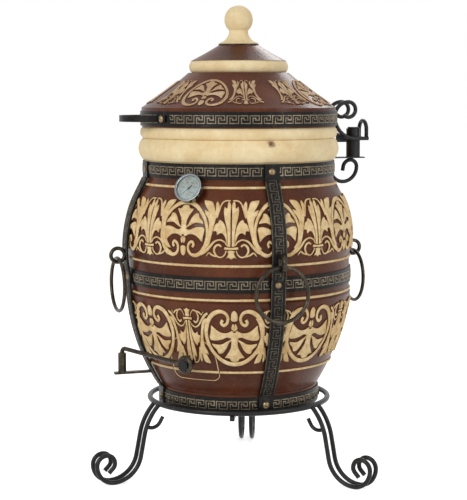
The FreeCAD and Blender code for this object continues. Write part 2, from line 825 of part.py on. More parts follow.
def knob_nut():
    z = COLLAR_Z - CAP_WALL - NUT_H
    corners = [FreeCAD.Vector(NUT_R * math.cos(nut_turn(i)), NUT_R * math.sin(nut_turn(i)), z)
               for i in range(NUT_SIDES + 1)]
    nut = Part.Face(Part.makePolygon(corners)).extrude(Z_AXIS * NUT_H)
    return nut.cut(Part.makeCylinder(BOLT_R, NUT_H, FreeCAD.Vector(0, 0, z)))


# Ash door

def door_bolt_place():
    """Radius of the clay's face and height of the bolt that carries the door."""
    z = DOOR_BASE + DOOR_BOLT_Z
    return clay_radius(z), z


def ash_plug():
    plug = door_wedge(DOOR_DEPTH, 0.0).common(pot_body())
    r, z = door_bolt_place()
    hole = Part.makeCylinder(DOOR_BOLT_R, DOOR_BOLT_DEPTH * 2, place(r - DOOR_BOLT_DEPTH, 0, z), FRONT)
    return plug.cut(turned(hole, DOOR_AZIMUTH))


def ash_bolt():
    """The bolt through the rod's eye, with a flat head outside it."""
    r, z = door_bolt_place()
    head_r = ROD_EYE_REACH + ROD_EYE_BAR / 2 + SEAT_GAP
    root = place(r - DOOR_BOLT_DEPTH, 0, z)
    shank = Part.makeCylinder(DOOR_BOLT_R, head_r - r + DOOR_BOLT_DEPTH, root, FRONT)
    head = Part.makeCylinder(DOOR_BOLT_HEAD_R, DOOR_BOLT_HEAD_H, place(head_r + 3.0, 0, z), FRONT)
    neck = Part.makeCylinder(DOOR_BOLT_R, 3.0, place(head_r, 0, z), FRONT)
    return turned(joined([shank, neck, head]), DOOR_AZIMUTH)


def round_point(azimuth, r, z):
    """A point given by its azimuth and radius."""
    a = math.radians(azimuth)
    return FreeCAD.Vector(r * math.sin(a), -r * math.cos(a), z)


def ash_rod():
    """The rod from the latch tube to the eye round the door's bolt."""
    low = round_point(LATCH_AZIMUTH, LATCH_R, LATCH_Z + SEAT_GAP)
    corner = round_point(LATCH_AZIMUTH, LATCH_R, LATCH_Z + LATCH_TUBE_H + ROD_RISE)
    eye = round_point(DOOR_AZIMUTH, ROD_EYE_REACH, DOOR_BASE + DOOR_BOLT_Z)
    run = eye - corner
    run.normalize()
    end = eye - run * ROD_EYE_R
    bend_in = corner - Z_AXIS * ROD_BEND
    bend_out = corner + run * ROD_BEND
    half_turn = math.acos(max(-1.0, min(1.0, run.dot(Z_AXIS)))) / 2
    radius = ROD_BEND / math.tan(half_turn)
    middle_line = (bend_in + bend_out) * 0.5 - corner
    middle_line.normalize()
    mid = corner + middle_line * (radius / math.cos(half_turn) - radius)
    edges = [
        Part.LineSegment(low, bend_in).toShape(),
        Part.Arc(bend_in, mid, bend_out).toShape(),
        Part.LineSegment(bend_out, end).toShape(),
    ]
    across = run.cross(Z_AXIS)
    eye_ring = Part.makeTorus(ROD_EYE_R, ROD_EYE_BAR / 2, eye, across)
    return joined([bar_along(edges, 2 * ROD_R), eye_ring])


def latch_tube():
    z = LATCH_Z
    outer = Part.makeCylinder(LATCH_TUBE_OR, LATCH_TUBE_H, place(LATCH_R, 0, z))
    bore = Part.makeCylinder(ROD_R + RUNNING_GAP, LATCH_TUBE_H, place(LATCH_R, 0, z))
    return turned(outer.cut(bore), LATCH_AZIMUTH)


def latch_arm(strap):
    """The flat arm that carries the latch tube out from its strap."""
    root = clay_radius(LATCH_Z)
    end = LATCH_R + LATCH_ARM_END
    arm = Part.makeBox(LATCH_ARM_W, end - root, LATCH_ARM_T,
                       FreeCAD.Vector(-LATCH_ARM_W / 2, -end, LATCH_Z - LATCH_ARM_T))
    arm = turned(arm, LATCH_AZIMUTH).cut(strap)
    return max(arm.Solids, key=lambda s: s.CenterOfMass.Length)


# Thermometer

def gauge_case():
    outer = along(GAUGE_R, GAUGE_BACK, GAUGE_DEPTH)
    inner = along(GAUGE_R - GAUGE_WALL, GAUGE_BACK + GAUGE_WALL, GAUGE_DEPTH)
    stem_hole = along(STEM_R, GAUGE_BACK, GAUGE_WALL)
    return gauge_frame(outer.cut(inner).cut(stem_hole))


def gauge_bezel():
    face = GAUGE_BACK + GAUGE_DEPTH
    ring = along(GAUGE_R + 1.0, face, BEZEL_H).cut(along(GAUGE_R - BEZEL_W, face, BEZEL_H))
    rim = [edge for edge in ring.Edges if abs(edge.BoundBox.YMin + face + BEZEL_H) < 1e-6]
    return gauge_frame(ring.makeFillet(BEZEL_H / 3, rim))


def dial_level():
    """Distance of the dial's back from the clay's face."""
    return GAUGE_BACK + GAUGE_DEPTH - DIAL_SEAT - DIAL_T


def gauge_dial():
    back = GAUGE_BACK + GAUGE_WALL
    disc = along(GAUGE_R - GAUGE_WALL, dial_level(), DIAL_T)
    drum = along(GAUGE_R - GAUGE_WALL, back, dial_level() - back)
    drum = drum.cut(along(GAUGE_R - 2 * GAUGE_WALL, back, dial_level() - back))
    hole = along(SPINDLE_R + RUNNING_GAP, dial_level(), DIAL_T)
    return gauge_frame(joined([disc, drum]).cut(hole))


def gauge_glass():
    return gauge_frame(along(GAUGE_R - GAUGE_WALL, GAUGE_BACK + GAUGE_DEPTH - GLASS_T, GLASS_T))


def gauge_needle():
    """Pointer, hub and spindle, which turn together."""
    level = dial_level() + DIAL_T + SEAT_GAP
    hub = along(HUB_R, level, HUB_H)
    spindle = along(SPINDLE_R, GAUGE_BACK + GAUGE_WALL + SEAT_GAP, level - GAUGE_BACK - GAUGE_WALL - SEAT_GAP)
    blade_z = level + (HUB_H - NEEDLE_T) / 2
    corners = [
        FreeCAD.Vector(-NEEDLE_TAIL, -blade_z, -NEEDLE_W),
        FreeCAD.Vector(-NEEDLE_TAIL, -blade_z, NEEDLE_W),
        FreeCAD.Vector(0, -blade_z, NEEDLE_W / 2),
        FreeCAD.Vector(NEEDLE_L, -blade_z, 0),
        FreeCAD.Vector(0, -blade_z, -NEEDLE_W / 2),
        FreeCAD.Vector(-NEEDLE_TAIL, -blade_z, -NEEDLE_W),
    ]
    blade = Part.Face(Part.makePolygon(corners)).extrude(FRONT * NEEDLE_T)
    blade.rotate(ORIGIN, FRONT, NEEDLE_ANGLE)
    return gauge_frame(joined([hub, spindle, blade]))


def gauge_stem():
    """The probe, from the case's back plate through the bush into the chamber."""
    return gauge_frame(along(STEM_R, -STEM_L, STEM_L + GAUGE_BACK + GAUGE_WALL))


def gauge_bush():
    """The threaded bush in the clay, with its hexagon nut under the case."""
    reach = BELLY_WALL
    sleeve = along(BUSH_R, -reach, reach)
    nut_start = GAUGE_BACK - BUSH_NUT_H
    corners = [FreeCAD.Vector(BUSH_NUT_R * math.cos(nut_turn(i)), -nut_start,
                              BUSH_NUT_R * math.sin(nut_turn(i))) for i in range(NUT_SIDES + 1)]
    nut = Part.Face(Part.makePolygon(corners)).extrude(FRONT * BUSH_NUT_H)
    neck = along(BUSH_R, 0, nut_start)
    return gauge_frame(joined([sleeve, neck, nut]).cut(along(STEM_R, -reach, reach + GAUGE_BACK)))


# Stand

def leg_run():
    """Level distance between a leg's top and its foot, and the length of its straight part."""
    angle = math.radians(-LEG_TOP_HEADING)
    steep = math.radians(LEG_TOP_TURN) + angle
    drop = STAND_RING_Z - LEG_BAR / 2
    drop -= LEG_TOP_RADIUS * (math.cos(angle) - math.cos(steep))
    drop -= LEG_FOOT_RADIUS * (1 - math.cos(steep))
    straight = drop / math.sin(steep)
    run = LEG_TOP_RADIUS * (math.sin(steep) - math.sin(angle))
    run += straight * math.cos(steep) + LEG_FOOT_RADIUS * math.sin(steep)
    return run, straight


def leg_bends():
    steep = LEG_TOP_TURN - LEG_TOP_HEADING
    bends = [(0.0, LEG_TOP_RADIUS, -LEG_TOP_TURN), (leg_run()[1], LEG_FOOT_RADIUS, steep)]
    bends += [(0.0, radius, LEG_SCROLL_TURN) for radius in LEG_SCROLL_RADII]
    bends += [(0.0, LEG_CURL_RADIUS, LEG_CURL_TURN), (LEG_TAIL, 0.0, 0.0)]
    return bends


def stand_leg(azimuth, ring):
    """Two scrolled bars side by side, cut to the ring above and ground flat below."""
    edges = bend_edges((STAND_RING_R, STAND_RING_Z), LEG_TOP_HEADING, leg_bends())
    bar = bar_along(edges, LEG_BAR)
    below = Part.makeBox(LEG_BAR, 4 * STAND_RING_R, STAND_RING_Z,
                         FreeCAD.Vector(-LEG_BAR / 2, -4 * STAND_RING_R, FOOT_FLAT))
    trimmed = bar.common(below)
    bars = []
    for side in (-1, 1):
        one = trimmed.copy()
        one.translate(FreeCAD.Vector(side * LEG_SPACING / 2, 0, -FOOT_FLAT))
        piece = turned(one, azimuth).cut(ring)
        bars.append(max(piece.Solids, key=lambda s: s.Volume))
    return Part.makeCompound(bars)


def stand_ring():
    return Part.makeTorus(STAND_RING_R, STAND_RING_BAR / 2, FreeCAD.Vector(0, 0, STAND_RING_Z))


def stand_supports():
    """Three square bars that meet under the pot, each ending under the ring."""
    top = STAND_RING_Z - STAND_RING_BAR / 2
    reach = STAND_RING_R + STAND_RING_BAR / 2
    bars = []
    for azimuth in LEG_AZIMUTHS.values():
        bar = Part.makeBox(SUPPORT_BAR, reach, SUPPORT_BAR,
                           FreeCAD.Vector(-SUPPORT_BAR / 2, -reach, top - SUPPORT_BAR))
        bars.append(turned(bar, azimuth + SUPPORT_TURN))
    return joined(bars)


def stand_hook(azimuth, side, leg):
    """The hook inside one bar of a leg, its root cut to the bar."""
    angle = math.radians(-LEG_TOP_HEADING)
    z = STAND_RING_Z - HOOK_DROP
    steep = math.acos(math.cos(angle) - HOOK_DROP / LEG_TOP_RADIUS)
    r = STAND_RING_R + LEG_TOP_RADIUS * (math.sin(steep) - math.sin(angle))
    edges = bend_edges((r, z), HOOK_HEADING, [(4.0, HOOK_RADIUS, -HOOK_TURN), (HOOK_TAIL, 0.0, 0.0)])
    hook = bar_along(edges, HOOK_BAR)
    hook.translate(SIDE * side * LEG_SPACING / 2)
    hook = turned(hook, azimuth).cut(leg)
    return min(hook.Solids, key=lambda s: FreeCAD.Vector(s.CenterOfMass.x, s.CenterOfMass.y, 0).Length)


# Grate

def fire_grate():
    """A slotted cast disc that rests on the ledge over the ash pit."""
    r = ASH_PIT_R + GRATE_LEDGE - GRATE_GAP
    z = LEDGE_Z + SEAT_GAP
    disc = Part.makeCylinder(r, GRATE_T, FreeCAD.Vector(0, 0, z))
    pitch = GRATE_RIB + GRATE_SLOT
    reach = r - GRATE_RIM
    count = int(reach // pitch)
    slots = []
    for i in range(-count, count + 1):
        x = i * pitch
        if abs(x) + GRATE_SLOT / 2 >= reach:
            continue
        half = math.sqrt(reach ** 2 - (abs(x) + GRATE_SLOT / 2) ** 2)
        for side in (-1, 1):
            low = GRATE_RIB / 2 if side > 0 else -half
            length = half - GRATE_RIB / 2
            if length > GRATE_SLOT:
                slots.append(Part.makeBox(GRATE_SLOT, length, GRATE_T,
                                          FreeCAD.Vector(x - GRATE_SLOT / 2, low, z)))
    return disc.cut(slots)


def build():
    straps, rivets = hoops_and_straps()
    save("hinge_bracket", hinge_bracket().cut(rivets))
    save("clay_pot", clay_pot())
    save("neck_ring", neck_ring())
    save("ring_eyes", ring_eyes(straps))
    for side, azimuth in STRAP_AZIMUTHS.items():
        save("carry_ring_" + side, turned(carry_ring(), azimuth))

    rivets = lid_rivets()
    save("lid_ring", lid_ring())
    save("lid_dome", lid_dome())
    save("lid_band", tube(LID_EDGE_R + HOOP_T, LID_EDGE_R, LID_HOOP_Z, LID_HOOP_W).cut(rivets))
    save("lid_handle", lid_handle().cut(rivets))
    save("lid_handle_rivets", Part.makeCompound(rivets))
    save("hinge_arm_front", hinge_arm(-1))
    save("hinge_arm_rear", hinge_arm(1))
    save("hinge_loop", hinge_loop())
    save("hinge_sleeve", hinge_sleeve())
    save("hinge_web", hinge_web())
    save("hinge_pin", hinge_pin())
    save("hinge_socket", hinge_socket())
    save("hinge_plate", hinge_plate())

    save("cap_ring", cap_ring())
    save("vent_cap", vent_cap())
    save("knob_collar", knob_collar())
    save("knob", knob())
    save("knob_bolt", knob_bolt())
    save("knob_nut", knob_nut())

    save("ash_plug", ash_plug())
    save("ash_bolt", ash_bolt())
    save("ash_rod", ash_rod())
    save("latch_tube", latch_tube())
    save("latch_arm", latch_arm(straps[LATCH_SIDE]))

    save("gauge_case", gauge_case())
    save("gauge_bezel", gauge_bezel())
    save("gauge_dial", gauge_dial())
    save("gauge_glass", gauge_glass())
    save("gauge_needle", gauge_needle())
    save("gauge_stem", gauge_stem())
    save("gauge_bush", gauge_bush())

    ring = stand_ring()
    save("stand_ring", ring)
    save("stand_supports", stand_supports())
    for side, azimuth in LEG_AZIMUTHS.items():
        leg = stand_leg(azimuth, ring)
        save("stand_leg_" + side, leg)
        save("stand_hook_" + side, stand_hook(azimuth, HOOK_SIDES[side], leg))
    save("fire_grate", fire_grate())


build()
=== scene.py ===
import bpy
import bmesh
import json
import math
import numpy as np
from mathutils import Matrix, Vector

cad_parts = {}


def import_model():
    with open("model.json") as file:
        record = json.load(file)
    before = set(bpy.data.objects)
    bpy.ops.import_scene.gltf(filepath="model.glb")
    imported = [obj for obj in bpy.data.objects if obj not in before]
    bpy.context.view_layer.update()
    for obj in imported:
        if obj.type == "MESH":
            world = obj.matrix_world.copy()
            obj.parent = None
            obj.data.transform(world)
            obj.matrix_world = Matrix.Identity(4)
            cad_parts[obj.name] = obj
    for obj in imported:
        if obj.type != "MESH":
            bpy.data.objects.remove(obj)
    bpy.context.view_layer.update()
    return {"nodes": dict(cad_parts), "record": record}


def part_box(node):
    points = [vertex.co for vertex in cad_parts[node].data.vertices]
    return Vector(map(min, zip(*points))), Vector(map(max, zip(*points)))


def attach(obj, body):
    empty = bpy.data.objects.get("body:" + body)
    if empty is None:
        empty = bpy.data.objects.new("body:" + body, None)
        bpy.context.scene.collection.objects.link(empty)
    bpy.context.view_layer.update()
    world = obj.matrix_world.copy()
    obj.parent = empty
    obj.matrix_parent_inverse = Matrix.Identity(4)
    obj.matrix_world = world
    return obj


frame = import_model()
MM = 0.001

# Heights and radii of the pot, in millimetres, as in the model
FOOT_R, FOOT_Z = 177.0, 204.3
BELLY_R, BELLY_LOW, BELLY_HIGH = 248.0, 412.3, 492.3
HOOP_Z = 452.3
SLOPE_Z = 648.3
BARE_Z = 703.5
STRAP_FOOT_Z = 203.3
STRAP_T = 4.0
DOOR_HALF, DOOR_LOW, DOOR_HIGH = 55.6, 238.7, 342.9
DOOR_CORNER = 17.6

# Azimuths, in degrees from the front
STRAPS = {"front": 19.0, "left": -71.0, "rear": -161.0, "right": 109.0}
DOOR_AZ = -27.0

# Outlines, as arcs through three (r, z) points
LOWER = ((FOOT_R, FOOT_Z), (222.0, 297.9), (251.0, BELLY_LOW))
UPPER = ((BELLY_R, BELLY_HIGH), (250.5, 570.3), (220.0, SLOPE_Z))
STRAP_LOWER = ((180.0, STRAP_FOOT_Z), (227.5, 297.9), (254.0, HOOP_Z))
STRAP_UPPER = ((254.0, HOOP_Z), (255.0, 570.3), (225.5, SLOPE_Z))
STRAP_TOP = (218.0, 671.0, 1.0, 0.3)      # r, z and outward direction of the strap's upper end
LID_CONE = ((216.0, 821.0), (169.0, 852.0), (112.0, 897.0))


def circle(a, b, c):
    """Centre and radius of the circle through three points."""
    ax, ay, bx, by, cx, cy = a + b + c
    d = 2 * (ax * (by - cy) + bx * (cy - ay) + cx * (ay - by))
    ux = ((ax**2 + ay**2) * (by - cy) + (bx**2 + by**2) * (cy - ay) + (cx**2 + cy**2) * (ay - by)) / d
    uy = ((ax**2 + ay**2) * (cx - bx) + (bx**2 + by**2) * (ax - cx) + (cx**2 + cy**2) * (bx - ax)) / d
    return ux, uy, math.hypot(ax - ux, ay - uy)


def arc_r(arc, z):
    """Radius of an outline arc at height z."""
    cx, cy, r = circle(*arc)
    return cx + math.sqrt(max(r * r - (z - cy) ** 2, 0))


def clay_r(z):
    """Outside radius of the pot at height z."""
    if z < FOOT_Z:
        return FOOT_R
    if z <= BELLY_LOW:
        return arc_r(LOWER, z)
    if z < BELLY_HIGH:
        return BELLY_R
    return arc_r(UPPER, z)


def lid_line(z):
    """Outside radius of the lid's cone at height z."""
    cx, cy, r = circle(*LID_CONE)
    side = -1.0 if cx > LID_CONE[1][0] else 1.0
    return cx + side * math.sqrt(max(r * r - (z - cy) ** 2, 0))


def at(az, r, z):
    """The point at an azimuth in degrees from the front, a radius and a height, in metres."""
    a = math.radians(az)
    return Vector((r * math.sin(a), -r * math.cos(a), z)) * MM


# ---------------------------------------------------------------- materials

def new_mat(name):
    m = bpy.data.materials.new(name)
    m.use_nodes = True
    nt = m.node_tree
    return m, nt, nt.nodes["Principled BSDF"]


def coords(nt):
    return nt.nodes.new("ShaderNodeTexCoord").outputs["Object"]


def node(nt, kind, **inputs):
    """A new node, with some of its inputs set; an underscore stands for a space."""
    new = nt.nodes.new(kind)
    for key, value in inputs.items():
        new.inputs[key.replace("_", " ")].default_value = value
    return new


def noise(nt, vec, scale, detail=4.0, rough=0.55):
    n = node(nt, "ShaderNodeTexNoise", Scale=scale, Detail=detail, Roughness=rough)
    nt.links.new(vec, n.inputs["Vector"])
    return n.outputs["Fac"]


def between(nt, value, low, high):
    """0 at low and beyond, 1 at high and beyond, even in between; low may be the larger."""
    n = node(nt, "ShaderNodeMapRange", From_Min=low, From_Max=high)
    nt.links.new(value, n.inputs["Value"])
    return n.outputs["Result"]


def ragged(nt, value, vec, scale, detail, amount):
    """value plus noise times amount."""
    n = node(nt, "ShaderNodeMath")
    n.operation = "MULTIPLY_ADD"
    nt.links.new(noise(nt, vec, scale, detail, 0.7), n.inputs[0])
    n.inputs[1].default_value = amount
    nt.links.new(value, n.inputs[2])
    return n.outputs[0]


def height(nt, vec):
    split = node(nt, "ShaderNodeSeparateXYZ")
    nt.links.new(vec, split.inputs[0])
    return split.outputs["Z"]


def ramp(nt, fac, stops):
    r = nt.nodes.new("ShaderNodeValToRGB")
    e = r.color_ramp.elements
    e[0].position, e[0].color = stops[0][0], stops[0][1] + (1,)
    e[1].position, e[1].color = stops[-1][0], stops[-1][1] + (1,)
    for pos, col in stops[1:-1]:
        x = e.new(pos)
        x.color = col + (1,)
    nt.links.new(fac, r.inputs["Fac"])
    return r.outputs["Color"]


def mix(nt, fac, a, b, mode="MIX"):
    n = nt.nodes.new("ShaderNodeMix")
    n.data_type = "RGBA"
    n.blend_type = mode
    if isinstance(fac, float):
        n.inputs[0].default_value = fac
    else:
        nt.links.new(fac, n.inputs[0])
    for sock, v in ((n.inputs[6], a), (n.inputs[7], b)):
        if isinstance(v, tuple):
            sock.default_value = v + (1,)
        else:
            nt.links.new(v, sock)
    return n.outputs[2]


def bump(nt, p, relief, strength, distance, coat=False):
    b = node(nt, "ShaderNodeBump", Strength=strength, Distance=distance)
    nt.links.new(relief, b.inputs["Height"])
    nt.links.new(b.outputs["Normal"], p.inputs["Normal"])
    if coat:
        nt.links.new(b.outputs["Normal"], p.inputs["Coat Normal"])


def brown_clay(name, bare_from=None):
    """Brown glaze over red clay. bare_from is the height above which the clay is pale and bare."""
    m, nt, p = new_mat(name)
    v = coords(nt)
    big = noise(nt, v, 9.0, 5.0)
    fine = noise(nt, v, 160.0, 6.0, 0.7)
    base = ramp(nt, big, [(0.3, (0.044, 0.0095, 0.0030)), (0.55, (0.084, 0.0205, 0.0065)),
                          (0.8, (0.145, 0.043, 0.0140))])
    col = mix(nt, ramp(nt, fine, [(0.5, (0, 0, 0)), (0.8, (1, 1, 1))]), base, (0.13, 0.042, 0.018))
    if bare_from:
        bare = between(nt, height(nt, v), bare_from - 0.4 * MM, bare_from + 0.4 * MM)
        col = mix(nt, bare, col, (0.60, 0.45, 0.25))
    nt.links.new(col, p.inputs["Base Color"])
    p.inputs["Roughness"].default_value = 0.42
    p.inputs["Specular IOR Level"].default_value = 0.10
    p.inputs["Specular Tint"].default_value = (1.0, 0.6, 0.4, 1)
    p.inputs["Coat Weight"].default_value = 0.26
    p.inputs["Coat Roughness"].default_value = 0.06
    bump(nt, p, noise(nt, v, 150.0, 4.0, 0.6), 0.35, 1.6 * MM, coat=True)
    return m


def fired_mark(nt, v, col, middle, radius):
    """A small dark mark with a ragged edge, round a point."""
    far = node(nt, "ShaderNodeVectorMath")
    far.operation = "DISTANCE"
    nt.links.new(v, far.inputs[0])
    far.inputs[1].default_value = middle
    edge = ragged(nt, far.outputs["Value"], v, 160.0, 4.0, radius * 1.2)
    return mix(nt, between(nt, edge, radius * 1.9, radius * 1.2), col, (0.16, 0.06, 0.03))


def stained_top(nt, v, col, top):
    """A brown stain with a ragged edge, from a little above the height top."""
    edge = ragged(nt, height(nt, v), v, 45.0, 4.0, 0.014)
    return mix(nt, between(nt, edge, top + 6.5 * MM, top + 9.5 * MM), col, (0.10, 0.035, 0.016))


def edge_shade_and_wash(nt, v, col, shade_and_wash, mid):
    """Painted shade along the outline of carved pieces and down their walls, over a brown wash left there,
    by the distance from the outline.
    """
    inset = node(nt, "ShaderNodeAttribute")
    inset.attribute_name = "inset"
    # darkest at the outline and on the walls: painted shade where the relief meets the ground, with a
    # brown wash
    shade_mask = ragged(nt, inset.outputs["Fac"], v, 120.0, 4.0, 0.9)
    halfway = tuple((e + c) / 2 for e, c in zip(shade_and_wash, mid))
    return mix(nt, 1.0, col, ramp(nt, shade_mask, [(0.40, shade_and_wash), (0.7, halfway), (1.0, (1, 1, 1))]), "MULTIPLY")


def cream_clay(name, light, mid, dark, speck, edge=None, spot=None, top=None, blotch=1.0):
    """Fired clay under a pale wash. edge is the colour of the painted shade and brown wash round carved
    pieces, spot a fired mark's middle and radius, and top a height from which a stain spreads."""
    m, nt, p = new_mat(name)
    v = coords(nt)
    fine = noise(nt, v, 420.0, 3.0, 0.7)
    base = ramp(nt, noise(nt, v, 14.0, 4.0), [(0.32, mid), (0.6, light), (0.85, mid)])
    patches = ramp(nt, noise(nt, v, 75.0, 5.0, 0.65), [(0.38, (0.80, 0.72, 0.60)), (0.60, (1, 1, 1))])
    base = mix(nt, blotch, base, patches, "MULTIPLY")
    dots = ramp(nt, noise(nt, v, 230.0, 2.0, 0.6), [(0.27, dark), (0.36, (1, 1, 1))])
    col = mix(nt, speck, base, dots, "MULTIPLY")
    if spot:
        col = fired_mark(nt, v, col, *spot)
    if top:
        col = stained_top(nt, v, col, top)
    if edge:
        # painted shade and a brown wash round the edges of the carved pieces
        col = edge_shade_and_wash(nt, v, col, edge, mid)
    nt.links.new(col, p.inputs["Base Color"])
    p.inputs["Roughness"].default_value = 0.7
    bump(nt, p, fine, 0.3, 0.7 * MM)
    return m


def dark_steel(name, dark, rub, rough, metal, rub_low, rub_high):
    m, nt, p = new_mat(name)
    v = coords(nt)
    n = noise(nt, v, 90.0, 5.0, 0.65)
    fac = ramp(nt, n, [(rub_low, (0, 0, 0)), (rub_high, (1, 1, 1))])
    nt.links.new(mix(nt, fac, dark, rub), p.inputs["Base Color"])
    p.inputs["Metallic"].default_value = metal
    p.inputs["Roughness"].default_value = rough
    bump(nt, p, noise(nt, v, 300.0, 4.0, 0.6), 0.3, 0.4 * MM)
    return m


def plain_metal(name, col, rough):
    m, nt, p = new_mat(name)
    v = coords(nt)
    n = noise(nt, v, 500.0, 3.0)
    darker = tuple(c * 0.82 for c in col)
    nt.links.new(ramp(nt, n, [(0.3, darker), (0.7, col)]), p.inputs["Base Color"])
    p.inputs["Metallic"].default_value = 1.0
    p.inputs["Roughness"].default_value = rough
    return m


def glass_mat():
    m, nt, p = new_mat("gauge_glass_clear")
    v = coords(nt)
    n = noise(nt, v, 900.0, 2.0)
    nt.links.new(ramp(nt, n, [(0.3, (0.93, 0.97, 0.98)), (0.7, (0.98, 1.0, 1.0))]), p.inputs["Base Color"])
    p.inputs["Roughness"].default_value = 0.03
    p.inputs["Transmission Weight"].default_value = 1.0
    p.inputs["IOR"].default_value = 1.3
    return m


BROWN = brown_clay("brown_glaze")
POT_BROWN = brown_clay("brown_glaze_pot", BARE_Z * MM)
# colour of the painted shade and brown wash along the edges of the carved pieces
SHADE_AND_WASH = (0.10, 0.035, 0.015)
CREAM = cream_clay("cream_relief", (0.79, 0.61, 0.34), (0.68, 0.47, 0.22), (0.35, 0.2, 0.1), 0.5, SHADE_AND_WASH)
PALE_TINTS = ((0.84, 0.70, 0.43), (0.76, 0.58, 0.31), (0.5, 0.32, 0.18), 0.3)
PALE = cream_clay("cream_ring", *PALE_TINTS, blotch=0.3)
NECK = cream_clay("cream_neck", *PALE_TINTS, spot=((0.0700, -0.2110, 0.7490), 0.009), blotch=0.3)
CAP_CREAM = cream_clay("cream_cap_ring", *PALE_TINTS, top=0.9233, blotch=0.3)
TAN = cream_clay("tan_relief", (0.58, 0.42, 0.26), (0.44, 0.28, 0.15), (0.3, 0.16, 0.08), 0.5, SHADE_AND_WASH)
STRIP = dark_steel("strip_steel", (0.012, 0.0115, 0.011), (0.045, 0.038, 0.029), 0.42, 0.85, 0.52, 0.8)
KEY = dark_steel("key_rubbed", (0.085, 0.070, 0.050), (0.31, 0.25, 0.17), 0.38, 0.85, 0.3, 0.66)
STRAP_KEY = dark_steel("key_dull", (0.035, 0.030, 0.023), (0.13, 0.110, 0.078), 0.42, 0.8, 0.35, 0.7)
IRON = dark_steel("forged_iron", (0.012, 0.012, 0.012), (0.045, 0.043, 0.040), 0.38, 0.6, 0.55, 0.85)
RINGS = dark_steel("worn_iron", (0.030, 0.024, 0.017), (0.105, 0.082, 0.055), 0.34, 0.8, 0.42, 0.78)
GRATE = dark_steel("cast_grate", (0.03, 0.03, 0.03), (0.07, 0.065, 0.06), 0.6, 0.5, 0.5, 0.8)
CHROME = plain_metal("gauge_chrome_finish", (0.27, 0.30, 0.31), 0.2)
BRASS = plain_metal("gauge_brass_finish", (0.65, 0.44, 0.16), 0.3)
BRIGHT = plain_metal("bright_rivet_finish", (0.25, 0.18, 0.10), 0.36)
STEEL = plain_metal("plain_steel_finish", (0.5, 0.5, 0.5), 0.4)
DIAL_WHITE = cream_clay("dial_white", (0.44, 0.50, 0.50), (0.36, 0.42, 0.42), (0.8, 0.8, 0.8), 0.1)
BLACK = dark_steel("gauge_black_finish", (0.01, 0.01, 0.01), (0.02, 0.02, 0.02), 0.5, 0.0, 0.4, 0.7)
GLASS = glass_mat()

SLOT_MATS = {
    "brown_clay": BROWN, "cream_clay": PALE, "key_strip": STRIP, "bright_rivet": BRIGHT,
    "black_iron": IRON, "grate_iron": GRATE, "gauge_chrome": CHROME, "gauge_brass": BRASS,
    "gauge_dial_white": DIAL_WHITE, "gauge_black": BLACK, "gauge_glass": GLASS, "plain_steel": STEEL,
}
NODE_MATS = {
    "clay_pot": POT_BROWN, "knob": PALE, "ash_plug": BROWN, "neck_ring": NECK, "cap_ring": CAP_CREAM,
    "ash_rod": RINGS, "latch_tube": RINGS, "latch_arm": RINGS, "ring_eyes": RINGS,
}
NODE_MATS.update({"carry_ring_" + side: RINGS for side in STRAPS})


def dress_nodes():
    """Gives each node its own material, or else the one of its slot."""
    slots = {s["node"]: s["material_slot"] for s in frame["record"]["subparts"]}
    for name, obj in frame["nodes"].items():
        obj.data.materials.clear()
        obj.data.materials.append(NODE_MATS.get(name, SLOT_MATS[slots[name]]))


dress_nodes()


# ---------------------------------------------------------------- pieces

def piece(name, verts, faces, mat, body, smooth=False):
    me = bpy.data.meshes.new(name)
    me.from_pydata(verts, [], faces)
    bm = bmesh.new()
    bm.from_mesh(me)
    bmesh.ops.recalc_face_normals(bm, faces=bm.faces)
    bm.to_mesh(me)
    bm.free()
    ob = bpy.data.objects.new(name, me)
    bpy.context.scene.collection.objects.link(ob)
    ob.data.materials.append(mat)
    for poly in me.polygons:
        poly.use_smooth = smooth
    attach(ob, body)
    return ob


def tube(name, path, radius, mat, body, closed=False, sides=8):
    """Round bead along a path of (point, outward direction) pairs."""
    verts, faces = [], []
    count = len(path)
    for i, (point, out) in enumerate(path):
        ahead = path[(i + 1) % count][0] if closed or i + 1 < count else point
        behind = path[i - 1][0] if closed or i > 0 else point
        along = (ahead - behind).normalized()
        side = along.cross(out).normalized()
        for j in range(sides):
            a = 2 * math.pi * j / sides
            verts.append(point + (out * math.cos(a) + side * math.sin(a)) * radius * MM)
    for i in range(count if closed else count - 1):
        for j in range(sides):
            k = (j + 1) % sides
            n = (i + 1) % count
            faces.append((i * sides + j, i * sides + k, n * sides + k, n * sides + j))
    if not closed:
        faces.append(tuple(range(sides)))
        faces.append(tuple((count - 1) * sides + j for j in range(sides)))
    ob = piece(name, verts, faces, mat, body, True)
    layer = ob.data.attributes.new("inset", "FLOAT", "POINT")
    layer.data.foreach_set("value", [1.0] * len(ob.data.vertices))
    return ob


# Greek key: the corners of one unit (x along, y across) and its bars, in millimetres
KEY_PITCH = 24.0
KEY_Y = 8.0
UNIT = [(0, -KEY_Y), (0, KEY_Y), (19, KEY_Y), (19, -1), (11.5, -1), (11.5, 3), (6, 3), (6, -KEY_Y)]
KEY_HALF = 1.15
KEY_H = 1.0
KEY_RUN = 7.0       # longest straight stretch of a bar, so that it follows the hoop


def key_bars(length, wrap=False):
    """Centre-line corners of a running key of that length, scaled to whole units."""
    n = max(1, round(length / KEY_PITCH))
    k = length / n
    pts = []
    for i in range(n):
        for x, y in UNIT:
            pts.append(((i + x / KEY_PITCH) * k, float(y)))
    pts.append((n * k, -KEY_Y))
    if not wrap:
        pts.append((n * k, KEY_Y))
    return pts


